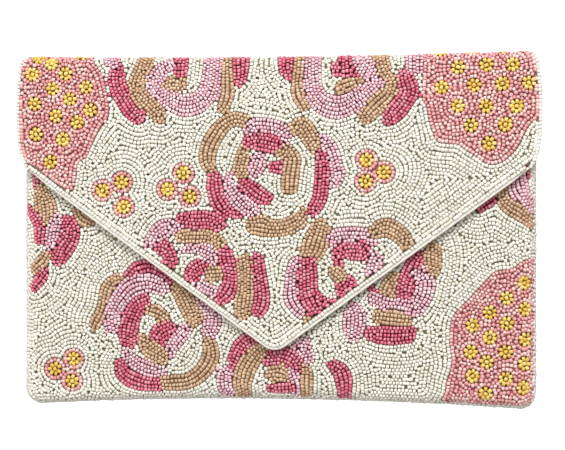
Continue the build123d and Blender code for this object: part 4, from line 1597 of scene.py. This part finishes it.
def pocket():
    """The satin slip pocket on the back lining, with its turned hem and its seams."""
    half, low, high = POCKET_HIGH[0], POCKET_LOW[2], POCKET_HIGH[2]
    rows = np.append(np.arange(low, high - 1, 2.0), high)
    grid = np.meshgrid(np.linspace(-half, half, 101), rows)
    piece = layer("slip_pocket_sheet", POCKET, grid, (0, POCKET_CLOTH), LINING_SATIN)
    ride(piece, "pouch", "lining_satin", "slip_pocket")
    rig.sheet(piece, flat=(2 * half * MM, (high - low) * MM), held="stretched")
    section = (
        (-0.1, HEM_Z),
        (-0.35, HEM_Z + 0.4),
        (-0.4, high - 0.6),
        (-0.25, high + 0.2),
        (0.15, high + 0.4),
        (0.5, high + 0.1),
        (0.55, high - 0.8),
        (0.4, high - 1.0),
        (0.38, high - 0.1),
        (-0.03, high - 0.1),
        (-0.03, HEM_Z),
    )

    def place(x, depth, p):
        return POCKET.at(x, np.full(len(x), p), depth)[0]

    piece = folded_strip("pocket_hem_sheet", place, half - 0.2, section, LINING_SATIN)
    ride(piece, "pouch", "lining_satin", "pocket_hem")
    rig.sheet(piece, flat=(2 * (half - 0.2) * MM, HEM_CUT * MM), held="folded")
    seam = half - 1.6
    sides = ((-seam, high - 1), (-seam, low + 1.6), (seam, low + 1.6), (seam, high - 1))
    stitches("pocket_stitches", POCKET, zip(sides, sides[1:]), -0.12, "pouch")
    hem = ((-seam, HEM_Z + 1.2), (seam, HEM_Z + 1.2))
    stitches("pocket_hem_stitches", POCKET, [hem], -0.5, "pouch")


pocket()


def seam_stitches():
    """The thread that holds the binding, and the facing along the flap's point."""
    edge, z = BINDING_HALF - 2, BINDING_Z + 1.3
    stitches("binding_stitches", FRONT, [((-edge, z), (edge, z))], 1.35, "pouch")
    stitches("facing_stitches", FLAP, [vee_curve(5.5)], STACK + 0.1, "flap")


seam_stitches()

# ---------------------------------------------------------------- the snap

SNAP_LOOKS = (
    (SNAP_METAL, ("snap_socket_shell", "snap_socket_prongs", "snap_socket_washer")),
    (SNAP_METAL, ("snap_stud", "snap_stud_prongs", "snap_stud_washer")),
    (MAGNET, ("snap_magnet",)),
    (FELT_CLOTH, ("socket_patch", "stud_patch")),
)
for look, names in SNAP_LOOKS:
    for name in names:
        frame["nodes"][name].data.materials[0] = look

# ---------------------------------------------------------------- stage, light and camera


def backdrop():
    """A pale floor that sweeps up into a pale wall, bright of itself, and no light on the bag."""
    glow = {"Emission_Color": (1, 1, 1, 1), "Emission_Strength": 1.0}
    material = principled("stage_white", (0.9, 0.9, 0.9), 0.9, Specular_IOR_Level=0.1, **glow)
    width, near, reach, height, radius = 5000.0, -2500.0, 2400.0, 2600.0, 700.0
    turn = np.linspace(0, math.pi / 2, 17)
    line = [(near, 0.0)]
    line += [(reach - radius + radius * math.sin(a), radius - radius * math.cos(a)) for a in turn]
    line += [(reach, height)]
    points = np.array([(side * width / 2, y, z) for y, z in line for side in (-1, 1)])
    faces = [(2 * i, 2 * i + 1, 2 * i + 3, 2 * i + 2) for i in range(len(line) - 1)]
    sweep = make_mesh("backdrop", points, np.ravel(faces), materials=[material])
    sweep.visible_diffuse = False
    sweep.visible_glossy = False
    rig.stage(sweep)


def in_scene(name, data, place, aim):
    """Adds a light or a camera that looks from a place at another."""
    made = bpy.data.objects.new(name, data)
    bpy.context.scene.collection.objects.link(made)
    made.location = place
    made.rotation_euler = (Vector(aim) - Vector(place)).to_track_quat("-Z", "Y").to_euler()
    return made


LIGHTS = {
    # name: place, width and height, watts
    "key": ((0.15, -0.95, 1.0), (0.7, 0.4), 16),
    "fill": ((-0.5, -1.1, 0.35), (0.8, 0.8), 5),
    "back": ((0, 1.2, 0.5), (0.6, 0.6), 5),
}


def studio():
    """A white world, three soft lights and the backdrop."""
    backdrop()
    world = bpy.data.worlds.new("studio")
    world.use_nodes = True
    background = world.node_tree.nodes["Background"]
    background.inputs["Color"].default_value = (1, 1, 1, 1)
    background.inputs["Strength"].default_value = 0.55
    bpy.context.scene.world = world
    for name, (place, size, power) in LIGHTS.items():
        light = bpy.data.lights.new(name, "AREA")
        light.shape = "RECTANGLE"
        light.size, light.size_y = size
        light.energy = power
        in_scene(name, light, place, (0, 0, 0.09))
    bpy.context.scene.view_settings.view_transform = "Standard"


IMAGE_WIDTH = 565
MM_EACH = 0.489  # what each pixel of the picture takes in at the bag
SENSOR = 36.0


def camera():
    """At the photograph's height and a little to the right of the bag's middle."""
    distance, azimuth = 0.68, math.radians(5.5)
    data = bpy.data.cameras.new("camera")
    data.sensor_width = SENSOR
    data.lens = SENSOR * distance / (IMAGE_WIDTH * MM_EACH * MM)
    data.clip_start = 0.01
    aim = Vector((0.0041, -HALF_DEPTH * MM, 0.0904))
    place = aim + distance * Vector((math.sin(azimuth), -math.cos(azimuth), 0))
    bpy.context.scene.camera = in_scene("camera", data, place, aim)


studio()
camera()

low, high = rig.bounds()
with open("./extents.json", "w") as size_file:
    json.dump({"cad": [list(c) for c in cad_box], "visual": [list(low), list(high)]}, size_file)
